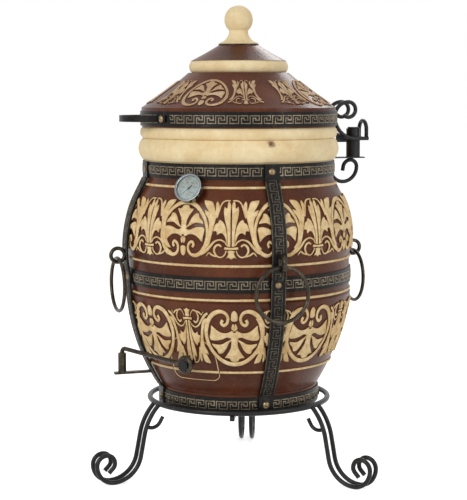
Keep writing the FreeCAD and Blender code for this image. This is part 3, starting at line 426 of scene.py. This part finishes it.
def key_mesh(pts, to_world):
    """Raised bars along the key's line; to_world maps (x, y, height) to space."""
    verts, faces = [], []
    for (x0, y0), (x1, y1) in zip(pts, pts[1:]):
        dx, dy = x1 - x0, y1 - y0
        run = math.hypot(dx, dy)
        ux, uy = dx / run, dy / run
        x0, y0 = x0 - ux * KEY_HALF, y0 - uy * KEY_HALF
        run += 2 * KEY_HALF
        steps = max(1, math.ceil(run / KEY_RUN))
        base = len(verts)
        for i in range(steps + 1):
            cx, cy = x0 + ux * run * i / steps, y0 + uy * run * i / steps
            for side, h in ((-1.0, -0.1), (-0.7, KEY_H), (0.7, KEY_H), (1.0, -0.1)):
                off = side * KEY_HALF
                verts.append(to_world(cx - uy * off, cy + ux * off, h))
        for i in range(steps):
            a = base + i * 4
            for j in range(3):
                faces.append((a + j, a + j + 1, a + j + 5, a + j + 4))
        faces.append((base, base + 1, base + 2, base + 3))
        e = base + steps * 4
        faces.append((e + 3, e + 2, e + 1, e))
    return verts, faces


def turn_between(az, other):
    """Degrees between two azimuths, the short way round."""
    return abs((az - other + 180) % 360 - 180)


def hoop_key(name, r, z_mid, body, gaps):
    """The key round a hoop, left out within some degrees of the azimuths in gaps."""
    pts = key_bars(2 * math.pi * r, wrap=True)

    def world(x, y, h):
        return at(math.degrees(x / r), r + h, z_mid + y)

    verts, faces = key_mesh(pts, world)
    keep = []
    for f in faces:
        c = sum((verts[i] for i in f), Vector()) / len(f)
        az = math.degrees(math.atan2(c.x, -c.y))
        if not any(turn_between(az, g) < w for g, w in gaps):
            keep.append(f)
    piece(name, verts, keep, KEY, body)


STRAP_STEPS = 40


def strap_curve():
    """Points (r, z, normal r, normal z) down the strap's outer face, with lengths."""
    pts = [STRAP_TOP]
    for arc, z0, z1 in ((STRAP_UPPER, SLOPE_Z, HOOP_Z), (STRAP_LOWER, HOOP_Z, STRAP_FOOT_Z)):
        cx, cy, rad = circle(*arc)
        for i in range(STRAP_STEPS + 1):
            z = z0 + (z1 - z0) * i / STRAP_STEPS
            r = arc_r(arc, z)
            pts.append((r + STRAP_T, z, (r - cx) / rad, (z - cy) / rad))
    lengths = [0.0]
    for a, b in zip(pts, pts[1:]):
        lengths.append(lengths[-1] + math.hypot(b[0] - a[0], b[1] - a[1]))
    return pts, lengths


KEY_END = 2.0                                   # between the strap's end and its key
RIM_Y, RIM_END, RIM_R, RIM_STEPS = 15.4, 3.0, 1.1, 90


def strap_key(name, az, skips):
    """The key down a strap, left out between the heights in skips, with a rim along each edge."""
    pts, lengths = strap_curve()
    total = lengths[-1]

    def find(s):
        s = min(max(s, 0.0), total)
        for i in range(len(pts) - 1):
            if s <= lengths[i + 1]:
                t = (s - lengths[i]) / max(lengths[i + 1] - lengths[i], 1e-9)
                return [a + (b - a) * t for a, b in zip(pts[i], pts[i + 1])]
        return list(pts[-1])

    def world(x, y, h):
        r, z, nr, nz = find(x)
        p = Vector((y, -(r + nr * h), z + nz * h)) * MM
        return Matrix.Rotation(math.radians(az), 3, "Z") @ p

    line = key_bars(total - 2 * KEY_END)
    verts, faces = key_mesh([(x + KEY_END, y) for x, y in line], world)
    keep = []
    for f in faces:
        z = sum(verts[i].z for i in f) / len(f) / MM
        if not any(lo < z < hi for lo, hi in skips):
            keep.append(f)
    piece(name, verts, keep, STRAP_KEY, "pot")
    for end, edge in (("a", -RIM_Y), ("b", RIM_Y)):
        path = []
        for i in range(RIM_STEPS + 1):
            x = RIM_END + (total - 2 * RIM_END) * i / RIM_STEPS
            base, above = world(x, edge, -0.2), world(x, edge, 0.8)
            path.append((base, (above - base).normalized()))
        tube("%s_rim_%s" % (name, end), path, RIM_R, STRAP_KEY, "pot", sides=6)


HANDLE_AZ, HANDLE_TURN = STRAPS["left"], 24.0
UNDER_EYE, UNDER_HOOP_RIVET = (478.0, 520.0), (443.0, 461.0)


def greek_keys():
    for name, r, z, gap in (("top", 214.0, 687.5, 5.0), ("middle", 251.0, HOOP_Z, 4.2),
                            ("bottom", 180.0, 182.8, 5.8)):
        hoop_key("key_" + name, r, z, "pot", [(az, gap) for az in STRAPS.values()])
    feet = (HANDLE_AZ - HANDLE_TURN, HANDLE_AZ + HANDLE_TURN)
    hoop_key("key_lid", 219.0, 797.5, "lid", [(az, 5.5) for az in feet])
    for side, azimuth in STRAPS.items():
        strap_key("key_strap_" + side, azimuth, [UNDER_EYE, UNDER_HOOP_RIVET])


greek_keys()


# ---------------------------------------------------------------- relief ornament

def smooth_outline(points, closed=True, steps=4):
    """Catmull-Rom curve through points; a point given as (x, y, 1) is a sharp corner."""
    n = len(points)
    out = []
    span = n if closed else n - 1
    for i in range(span):
        p1, p2 = points[i], points[(i + 1) % n]
        p0 = points[(i - 1) % n] if closed or i > 0 else p1
        p3 = points[(i + 2) % n] if closed or i + 2 < n else p2
        if len(p1) == 3:
            p0 = p1
        if len(p2) == 3:
            p3 = p2
        for k in range(steps):
            t = k / steps
            q = []
            for c in (0, 1):
                a, b, d, e = p0[c], p1[c], p2[c], p3[c]
                q.append(0.5 * (2 * b + (d - a) * t + (2 * a - 5 * b + 4 * d - e) * t * t
                                + (3 * b - a - 3 * d + e) * t ** 3))
            out.append(tuple(q))
    if not closed:
        out.append(tuple(points[-1][:2]))
    return out


def stroke(points, widths):
    """Outline of a tapering band along a smooth centre line."""
    centre = smooth_outline(points, closed=False)
    last = len(centre) - 1
    left, right = [], []
    for i, (x, y) in enumerate(centre):
        a = centre[max(i - 1, 0)]
        b = centre[min(i + 1, last)]
        dx, dy = b[0] - a[0], b[1] - a[1]
        run = math.hypot(dx, dy) or 1.0
        share = i / last * (len(widths) - 1)
        j = min(int(share), len(widths) - 2)
        w = (widths[j] + (widths[j + 1] - widths[j]) * (share - j)) / 2
        left.append((x - dy / run * w, y + dx / run * w))
        right.append((x + dy / run * w, y - dx / run * w))
    return left + right[::-1]


def mirror(outline):
    return [(-x,) + tuple(rest) for x, *rest in outline][::-1]


def palmette():
    """Outlines of a palmette in its scrolled frame, millimetres from the frame's middle."""
    k = 0.168

    def p(points):
        return [((q[0] - 742) * k, (665 - q[1]) * k) + tuple(q[2:]) for q in points]

    frame_line = [(733, 985), (830, 975), (930, 930), (1010, 860), (1070, 770), (1105, 660), (1105, 550),
                  (1070, 440), (1010, 365), (930, 330), (860, 345), (822, 400), (830, 465), (875, 500),
                  (905, 470), (885, 430)]
    shapes = [stroke(p(frame_line), [9.2, 9.0, 8.4, 8.2, 9.6, 9.6, 7.0, 6.5, 6.8, 7.0])]
    upper_leaf = [(762, 565), (790, 570), (840, 590), (900, 588), (960, 562), (1038, 492, 1), (1046, 560),
                  (1070, 650, 1), (1050, 682), (980, 688), (900, 672), (838, 648), (770, 655)]
    lower_leaf = [(775, 665), (850, 700), (930, 735), (1048, 722, 1), (1030, 760), (985, 800),
                  (965, 850, 1), (915, 850), (860, 800), (815, 720), (785, 690)]
    heart = [(742, 585), (760, 560), (782, 540), (775, 500), (758, 472, 1), (742, 500)]
    shapes += [smooth_outline(p(leaf)) for leaf in (upper_leaf, lower_leaf, heart)]
    shapes += [mirror(shape) for shape in shapes]
    stem = [(700, 560), (742, 590), (784, 560), (790, 640), (785, 730), (810, 810), (885, 905, 1),
            (815, 912), (790, 945), (742, 955), (694, 945), (669, 912), (599, 905, 1), (674, 810),
            (699, 730), (694, 640)]
    bud = [(742, 318), (775, 345), (785, 395), (780, 440), (742, 452), (704, 440), (699, 395), (709, 345)]
    return shapes + [smooth_outline(p(stem)), smooth_outline(p(bud))]


def lotus():
    """Outlines of a lotus over two volutes, millimetres from its axis, point up."""
    k = 0.146

    def p(points):
        return [((q[0] - 597) * k, (495 - q[1]) * k) + tuple(q[2:]) for q in points]

    petal = [(604, 735, 1), (604, 480), (606, 250), (600, 160), (618, 110), (640, 88, 1), (658, 130),
             (664, 190), (700, 160, 1), (712, 235), (692, 350), (662, 470), (650, 600), (652, 735, 1)]
    leaf = [(662, 725, 1), (672, 640), (700, 570), (745, 540), (800, 575, 1), (812, 515), (858, 520, 1),
            (838, 440), (812, 400), (790, 395), (770, 345, 1), (720, 375), (680, 440), (660, 520),
            (650, 620)]
    arch = [(612, 86), (690, 88), (745, 130), (782, 230), (812, 330)]
    outer = [(905, 700, 1), (880, 600), (852, 480), (820, 340), (782, 230), (772, 160), (812, 85, 1),
             (836, 130), (834, 225), (862, 150), (905, 95), (1030, 78, 1), (1012, 130), (938, 238, 1),
             (1006, 208, 1), (985, 275), (938, 340), (922, 440), (932, 560), (975, 680),
             (1040, 775, 1), (960, 765)]
    root = [(655, 720), (690, 665), (760, 635), (840, 665), (905, 740), (975, 810), (1045, 850)]
    volute = [(735, 735), (775, 705), (825, 735), (840, 800), (800, 870), (735, 885), (685, 840),
              (668, 785)]
    tail = [(800, 880), (870, 855), (915, 825), (960, 878)]
    shapes = [
        smooth_outline(p(petal)),
        smooth_outline(p(leaf)),
        stroke(p(arch), [3.2, 3.6, 4.0, 4.6]),
        smooth_outline(p(outer)),
        stroke(p(root), [3.2, 3.8, 4.0, 5.5, 7.0, 6.0]),
        stroke(p(volute), [4.2, 5.2, 5.2, 4.2, 3.4, 3.0]),
        stroke(p(tail), [3.6, 4.4, 4.0, 2.0]),
    ]
    shapes += [mirror(shape) for shape in shapes]
    tie = [(496, 755), (597, 762), (698, 755)]
    bud = [(548, 792), (646, 792), (640, 845), (690, 918, 1), (640, 895), (597, 922, 1), (554, 895),
           (504, 918, 1), (554, 845)]
    return shapes + [stroke(p(tie), [6.0, 5.0, 6.0]), smooth_outline(p(bud))]


CELL = 1.7                                  # mesh size of a carved face
EDGE_H, TOP_H, EASE = 1.3, 3.8, 3.2         # height at the outline, at most, and how far in it gets there
ROOT_H = -0.6                               # the walls end this far inside the clay


def outline_distance(points, outline):
    """Distance from each point to the closed outline."""
    a = np.array(outline)
    b = np.roll(a, -1, axis=0)
    d = b - a
    run = np.maximum((d ** 2).sum(axis=1), 1e-12)
    rel = points[:, None, :] - a[None]
    t = np.clip((rel * d[None]).sum(axis=2) / run[None], 0, 1)
    gap = rel - t[..., None] * d[None]
    return np.sqrt((gap ** 2).sum(axis=2)).min(axis=1)


def winds(outline, point):
    """True if the closed outline goes round the point."""
    a = np.array(outline)
    b = np.roll(a, -1, axis=0)
    x, y = point[0], point[1]
    left = (b[:, 0] - a[:, 0]) * (y - a[:, 1]) - (x - a[:, 0]) * (b[:, 1] - a[:, 1])
    rising = (a[:, 1] <= y) & (b[:, 1] > y) & (left > 0)
    falling = (a[:, 1] > y) & (b[:, 1] <= y) & (left < 0)
    return int(rising.sum()) != int(falling.sum())


def filled(outline):
    """The area inside a closed outline, as a bmesh."""
    cu = bpy.data.curves.new("outline", "CURVE")
    cu.dimensions = "2D"
    cu.fill_mode = "BOTH"
    sp = cu.splines.new("POLY")
    sp.points.add(len(outline) - 1)
    for q, (x, y) in zip(sp.points, outline):
        q.co = (x, y, 0, 1)
    sp.use_cyclic_u = True
    ob = bpy.data.objects.new("outline", cu)
    me = bpy.data.meshes.new_from_object(ob)
    bm = bmesh.new()
    bm.from_mesh(me)
    bpy.data.objects.remove(ob)
    bpy.data.meshes.remove(me)
    bpy.data.curves.remove(cu)
    bmesh.ops.remove_doubles(bm, verts=bm.verts, dist=1e-4)
    return bm


def cut_in_cells(bm):
    """Cuts the area across and along, so that it can be curved and raised."""
    for axis in (0, 1):
        values = [v.co[axis] for v in bm.verts]
        low, high = min(values), max(values)
        n = max(1, int((high - low) / CELL))
        for i in range(1, n):
            co, no = [0, 0, 0], [0, 0, 0]
            co[axis] = low + (high - low) * i / n
            no[axis] = 1
            geom = bm.verts[:] + bm.edges[:] + bm.faces[:]
            bmesh.ops.bisect_plane(bm, geom=geom, plane_co=co, plane_no=no, dist=1e-5)


def wall_foot(edge):
    """The two corners of a boundary edge, in the order in which its wall faces outwards."""
    i, j = (v.index for v in edge.verts)
    face = edge.link_faces[0]
    order = [v.index for v in face.verts]
    backwards = (order.index(j) - order.index(i)) % len(order) != 1
    if backwards != (face.normal.z < 0):
        i, j = j, i
    return i, j


def flat_relief(outlines):
    """Carved shapes on a flat ground: points (x, y, height, inset), faces and which faces are tops."""
    points, faces, tops = [], [], []
    for outline in outlines:
        bm = filled(outline)
        cut_in_cells(bm)
        stray = [f for f in bm.faces if not winds(outline, f.calc_center_median())]
        bmesh.ops.delete(bm, geom=stray, context="FACES")
        bm.verts.index_update()
        flat = np.array([v.co[:2] for v in bm.verts])
        inset = outline_distance(flat, outline)
        share = np.clip(inset / EASE, 0, 1)
        high = EDGE_H + (TOP_H - EDGE_H) * np.sqrt(1 - (1 - share) ** 2)
        base = len(points)
        points += [(x, y, h, d) for (x, y), h, d in zip(flat, high, inset)]
        for f in bm.faces:
            ring = [base + v.index for v in f.verts]
            if f.normal.z < 0:
                ring.reverse()
            faces.append(ring)
            tops.append(True)
        for e in bm.edges:
            if not e.is_boundary:
                continue
            i, j = wall_foot(e)
            wall = len(points)
            for k, h in ((i, high[i]), (j, high[j]), (j, ROOT_H), (i, ROOT_H)):
                points.append((flat[k][0], flat[k][1], h, 0.0))
            faces.append([wall + 1, wall, wall + 3, wall + 2])
            tops.append(False)
        bm.free()
    return np.array(points), faces, tops


def carved(name, flat, lift, to_world, mat, body, slot, cut=None):
    """Wraps a flat relief on a curved face, with its heights times lift. Where cut(point) is true
    the relief is the ash door's, and a piece of its own."""
    points, faces, tops = flat
    spots = [to_world(x, y, h * lift) for x, y, h, _ in points]
    everything = range(len(faces))
    groups = [(name, body, list(everything))]
    if cut is not None:
        flags = [cut(p) for p in spots]
        inside = [2 * sum(flags[i] for i in f) > len(f) for f in faces]
        groups = [(name, body, [k for k in everything if not inside[k]]),
                  (name + "_door", "ash_door", [k for k in everything if inside[k]])]
    for part_name, part_body, chosen in groups:
        if not chosen:
            continue
        used = sorted({i for k in chosen for i in faces[k]})
        new = {old: i for i, old in enumerate(used)}
        me = bpy.data.meshes.new(part_name)
        me.from_pydata([spots[i] for i in used], [], [[new[i] for i in faces[k]] for k in chosen])
        for poly, k in zip(me.polygons, chosen):
            poly.use_smooth = tops[k]
        layer = me.attributes.new("inset", "FLOAT", "POINT")
        layer.data.foreach_set("value", [float(points[i][3]) for i in used])
        ob = bpy.data.objects.new(part_name, me)
        bpy.context.scene.collection.objects.link(ob)
        me.materials.append(mat)
        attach(ob, part_body)


def scaled(outlines, sx, sy=1.0):
    return [[(x * sx, y * sy) for x, y in o] for o in outlines]


def in_door(p):
    """True if the point is in front of the ash door's plug."""
    x, y, z = p / MM
    a = math.radians(DOOR_AZ)
    across = x * math.cos(a) + y * math.sin(a)
    ahead = x * math.sin(a) - y * math.cos(a)
    if ahead < 0 or not DOOR_LOW < z < DOOR_HIGH:
        return False
    spring = DOOR_HIGH - DOOR_HALF
    if z > spring:
        return math.hypot(across, z - spring) < DOOR_HALF
    dx, dz = abs(across) - (DOOR_HALF - DOOR_CORNER), (DOOR_LOW + DOOR_CORNER) - z
    if dx > 0 and dz > 0:
        return math.hypot(dx, dz) < DOOR_CORNER
    return abs(across) < DOOR_HALF


DOOR_REACH = 30.0                           # a motif this near, in degrees, may cross the ash door


def door_cut(az):
    """in_door for a motif that may cross the ash door, else None."""
    return in_door if turn_between(az, DOOR_AZ) < DOOR_REACH else None


RELIEF_LOW, RELIEF_HIGH = 208.0, 646.0      # the pot's carved stretch
LID_RELIEF_LOW, LID_RELIEF_HIGH = 824.0, 893.0
LID_R = 168.0                               # radius at the middle of the lid's relief
LID_RISE = 0.59                             # height gained per millimetre up the cone
LID_OUT = (0.62, 0.78)                      # outward direction of the cone (r, z)


def pot_map(az0, z0, flip=1.0):
    """Wraps (x, y, h) on the pot round azimuth az0 and height z0."""
    ref = clay_r(z0)

    def world(x, y, h):
        z = min(max(z0 + flip * y, RELIEF_LOW), RELIEF_HIGH)
        return at(az0 + math.degrees(x / ref), clay_r(z) + h, z)
    return world


def lid_map(az0, z0, flip=1.0):
    """Wraps (x, y, h) on the lid's cone."""
    def world(x, y, h):
        z = min(max(z0 + y * flip * LID_RISE, LID_RELIEF_LOW), LID_RELIEF_HIGH)
        return at(az0 + math.degrees(x / LID_R), lid_line(z) + h * LID_OUT[0], z + h * LID_OUT[1])
    return world


PAL = palmette()
LOT = lotus()
FRIEZE_COUNT, FRIEZE_AZ = 8, STRAPS["front"]
UP_PAL_Z, UP_LOT_Z, LOW_PAL_Z, LOW_LOT_Z = 571.0, 569.0, 337.0, 341.0
WIDE_PANEL, WIDE_TURN = 7, -1.3             # the upper palmette over the door is wider
LOW_TURN = {0: 1.4, 1: -2.0, 7: -1.8}       # the moulded panels aren't quite evenly spaced


def friezes():
    """Palmettes and lotus flowers in turn round the pot, the lower ones upside down."""
    up_pal = flat_relief(scaled(PAL, 0.80))
    up_pal_wide = flat_relief(scaled(PAL, 0.88))
    up_lot = flat_relief(LOT)
    low_pal = flat_relief(scaled(PAL, 0.96, 1.07))
    low_lot = flat_relief(scaled(LOT, 0.68))
    look = (CREAM, "pot", "cream_clay")
    step = 360.0 / FRIEZE_COUNT
    for i in range(FRIEZE_COUNT):
        az = FRIEZE_AZ + step * i
        aside = az - step / 2
        low_az = aside + LOW_TURN.get(i, 0.0)
        flat, turn = (up_pal_wide, WIDE_TURN) if i == WIDE_PANEL else (up_pal, 0.0)
        carved("palmette_up_%d" % i, flat, 1.0, pot_map(az + turn, UP_PAL_Z, -1.0), *look)
        carved("lotus_up_%d" % i, up_lot, 1.0, pot_map(aside, UP_LOT_Z), *look)
        carved("palmette_low_%d" % i, low_pal, 1.0, pot_map(low_az, LOW_PAL_Z), *look, door_cut(low_az))
        carved("lotus_low_%d" % i, low_lot, 1.0, pot_map(az, LOW_LOT_Z, -1.0), *look, door_cut(az))


LINE_R, LINE_OUT = 2.8, 0.4                 # a raised line's radius, and its middle outside the clay
LINE_HEIGHTS = (("belly_low", 420.3), ("belly_high", BELLY_HIGH), ("shoulder", 654.3))
SHOULDER_R = 216.8
LOW_LINE_Z = 259.8


def level_path(r, z, start, sweep, count):
    """Points with their outward directions, level round the pot from azimuth start."""
    path = []
    for i in range(count + 1):
        az = start + sweep * i / count
        path.append((at(az, r, z), at(az, 1.0, 0) / MM))
    return path


def raised_lines():
    """The cream lines round the pot. The lowest one crosses the ash door, and is split there."""
    for name, z in LINE_HEIGHTS:
        r = (clay_r(z) if z < SLOPE_Z else SHOULDER_R) + LINE_OUT
        ring = level_path(r, z, 0.0, 360.0, 180)[:-1]
        tube("line_" + name, ring, LINE_R, CREAM, "pot", True)
    r = clay_r(LOW_LINE_Z) + LINE_OUT
    half = math.degrees(math.asin((DOOR_HALF - 0.2) / r))
    around = level_path(r, LOW_LINE_Z, DOOR_AZ + half + 0.3, 360.0 - 2 * half - 0.6, 170)
    across = level_path(r, LOW_LINE_Z, DOOR_AZ - half + 0.1, 2 * half - 0.2, 26)
    tube("line_low", around, LINE_R, CREAM, "pot")
    tube("line_low_door", across, LINE_R, CREAM, "ash_door")


OUTLINE_INSET, OUTLINE_CORNER, OUTLINE_STEP = 1.0, 17.0, 3.0


def door_edge():
    """Path just inside the edge of the ash door, on its face."""
    half, low, high = DOOR_HALF - OUTLINE_INSET, DOOR_LOW + OUTLINE_INSET, DOOR_HIGH - OUTLINE_INSET
    corner = OUTLINE_CORNER
    spring = high - half
    flat = [(half * math.cos(t), spring + half * math.sin(t)) for t in np.linspace(0, math.pi, 40)]
    for cx, start in ((-half + corner, math.pi), (half - corner, 1.5 * math.pi)):
        flat += [(cx + corner * math.cos(t), low + corner + corner * math.sin(t))
                 for t in np.linspace(start, start + math.pi / 2, 10)]
    path = []
    for (x0, z0), (x1, z1) in zip(flat, flat[1:] + flat[:1]):
        n = max(1, int(math.hypot(x1 - x0, z1 - z0) / OUTLINE_STEP))
        for k in range(n):
            x, z = x0 + (x1 - x0) * k / n, z0 + (z1 - z0) * k / n
            r = clay_r(z) + 0.2
            az = DOOR_AZ + math.degrees(math.asin(x / r))
            path.append((at(az, r, z), at(az, 1.0, 0) / MM))
    return path


LID_COUNT, LID_AZ, LID_TURN, LID_RELIEF_Z, LID_LIFT = 4, -23.5, 28.0, 853.5, 0.68


def lid_relief():
    """Groups round the cone: a palmette with a lotus on each side."""
    pal = flat_relief(scaled(PAL, 0.74, 0.80))
    lot = flat_relief(scaled(LOT, 0.50, 0.70))
    look = (TAN, "lid", "brown_clay")
    for i in range(LID_COUNT):
        az = LID_AZ + 360.0 / LID_COUNT * i
        carved("lid_palmette_%d" % i, pal, LID_LIFT, lid_map(az, LID_RELIEF_Z, -1.0), *look)
        for side in (-1, 1):
            carved("lid_lotus_%d_%d" % (i, side + 1), lot, LID_LIFT,
                   lid_map(az + side * LID_TURN, LID_RELIEF_Z), *look)


friezes()
raised_lines()
tube("door_outline", door_edge(), 0.9, CREAM, "ash_door", True)
lid_relief()


# ---------------------------------------------------------------- thermometer

GAUGE_AZ, GAUGE_TILT = -26.0, 24.0
SCALE_START, SCALE_TURN = 225.0, 270.0      # degrees, from 3 o'clock
MARKS, LONG_EVERY, NUMBERS = 50, 5, 5
MARK_OUTER, MARK_INNER, LONG_MARK_INNER = 21.8, 19.8, 18.2
MARK_HALF, LONG_MARK_HALF = 0.2, 0.42
NUMBER_R, NUMBER_SIZE = 13.8, 5.2
PRINT_LIFT = 0.12                           # of the scale above the dial


def dial_map():
    """Maps (x, y) in millimetres from the dial's middle to a point just above its face."""
    az, tilt = math.radians(GAUGE_AZ), math.radians(GAUGE_TILT)
    out = at(GAUGE_AZ, 1.0, 0) / MM * math.cos(tilt) + Vector((0, 0, math.sin(tilt)))
    right = Vector((math.cos(az), math.sin(az), 0))
    up = out.cross(right)
    low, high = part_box("gauge_dial")
    middle = (Vector(low) + Vector(high)) / 2
    front = max(v.co.dot(out) for v in frame["nodes"]["gauge_dial"].data.vertices)
    face = middle + out * (front - middle.dot(out) + PRINT_LIFT * MM)

    def world(x, y):
        return face + (right * x + up * y) * MM
    return world


def gauge_scale(on_dial):
    verts, faces = [], []
    for i in range(MARKS + 1):
        turn = math.radians(SCALE_START - SCALE_TURN * i / MARKS)
        inner, half = (LONG_MARK_INNER, LONG_MARK_HALF) if i % LONG_EVERY == 0 else (MARK_INNER, MARK_HALF)
        c, d = math.cos(turn), math.sin(turn)
        base = len(verts)
        for r, w in ((inner, -half), (inner, half), (MARK_OUTER, half), (MARK_OUTER, -half)):
            verts.append(on_dial(r * c - w * d, r * d + w * c))
        faces.append((base, base + 1, base + 2, base + 3))
    piece("gauge_scale", verts, faces, BLACK, "pot")


def gauge_number(i, on_dial):
    turn = math.radians(SCALE_START - SCALE_TURN / NUMBERS * i)
    cu = bpy.data.curves.new("number", "FONT")
    cu.body = str(100 * i)
    cu.size = NUMBER_SIZE
    cu.align_x, cu.align_y = "CENTER", "CENTER"
    ob = bpy.data.objects.new("number", cu)
    me = bpy.data.meshes.new_from_object(ob)
    bpy.data.objects.remove(ob)
    cx, cy = NUMBER_R * math.cos(turn), NUMBER_R * math.sin(turn)
    verts = [on_dial(v.co.x + cx, v.co.y + cy) for v in me.vertices]
    faces = [tuple(f.vertices) for f in me.polygons]
    piece("gauge_number_%d" % i, verts, faces, BLACK, "pot")
    bpy.data.meshes.remove(me)


def gauge():
    on_dial = dial_map()
    gauge_scale(on_dial)
    for i in range(NUMBERS + 1):
        gauge_number(i, on_dial)


gauge()


# ---------------------------------------------------------------- stage, light, camera

FLOOR_HALF = 30.0
FLOOR_SEEN, WORLD_SEEN, WORLD_LIGHT = 0.62, 1.0, 0.45


def add_rays(nt, rays, seen, other, socket):
    """Feeds socket with seen for those kinds of ray, and with other for the rest."""
    path = nt.nodes.new("ShaderNodeLightPath")
    total = path.outputs[rays[0]]
    for ray in rays[1:]:
        either = nt.nodes.new("ShaderNodeMath")
        either.operation = "MAXIMUM"
        nt.links.new(total, either.inputs[0])
        nt.links.new(path.outputs[ray], either.inputs[1])
        total = either.outputs[0]
    share = node(nt, "ShaderNodeMapRange", To_Min=other, To_Max=seen)
    nt.links.new(total, share.inputs["Value"])
    nt.links.new(share.outputs["Result"], socket)


def floor():
    mat, nt, p = new_mat("floor_pale")
    p.inputs["Base Color"].default_value = (0.92, 0.92, 0.92, 1)
    p.inputs["Emission Color"].default_value = (1, 1, 1, 1)
    p.inputs["Roughness"].default_value = 0.9
    add_rays(nt, ("Is Camera Ray", "Is Glossy Ray"), FLOOR_SEEN, 0.0, p.inputs["Emission Strength"])
    h = FLOOR_HALF
    me = bpy.data.meshes.new("floor")
    me.from_pydata([(-h, -h, 0), (h, -h, 0), (h, h, 0), (-h, h, 0)], [], [(0, 1, 2, 3)])
    ob = bpy.data.objects.new("floor", me)
    bpy.context.scene.collection.objects.link(ob)
    me.materials.append(mat)


def studio():
    world = bpy.data.worlds.new("studio")
    bpy.context.scene.world = world
    world.use_nodes = True
    bg = world.node_tree.nodes["Background"]
    bg.inputs["Color"].default_value = (1, 1, 1, 1)
    rays = ("Is Camera Ray", "Is Glossy Ray", "Is Transmission Ray")
    add_rays(world.node_tree, rays, WORLD_SEEN, WORLD_LIGHT, bg.inputs["Strength"])


LIT_POINT = (0, 0, 0.5)


def area(name, loc, size, power):
    data = bpy.data.lights.new(name, "AREA")
    data.shape = "RECTANGLE"
    data.size, data.size_y = size
    data.energy = power
    ob = bpy.data.objects.new(name, data)
    bpy.context.scene.collection.objects.link(ob)
    ob.location = loc
    ob.rotation_euler = (Vector(LIT_POINT) - Vector(loc)).to_track_quat("-Z", "Y").to_euler()


floor()
studio()
area("key_light", (-1.7, -2.4, 1.9), (0.8, 1.4), 42)
area("fill_light", (2.3, -1.7, 1.5), (0.8, 1.6), 20)
area("rear_light", (0.6, 2.2, 2.2), (1.6, 1.0), 22)

# Camera, fitted to the photograph's frame of PX_W by PX_H pixels
FOCAL_PX = 1521.9
AXIS_PX = 238.6                             # pixel column of the pot's axis
PX_W, PX_H = 467, 500
SENSOR_MM = 36.0
CAMERA_AT = (0.0, -3.4055, 0.8584)
CAMERA_DOWN = 5.99                          # degrees below level


def camera():
    data = bpy.data.cameras.new("camera")
    cam = bpy.data.objects.new("camera", data)
    bpy.context.scene.collection.objects.link(cam)
    data.sensor_width = SENSOR_MM
    data.lens = FOCAL_PX * SENSOR_MM / PX_H
    data.shift_x = (PX_W / 2 - AXIS_PX) / PX_H
    data.clip_end = 50
    cam.location = CAMERA_AT
    cam.rotation_euler = (math.radians(90 - CAMERA_DOWN), 0, 0)
    bpy.context.scene.camera = cam


camera()
bpy.context.scene.view_settings.view_transform = "Standard"
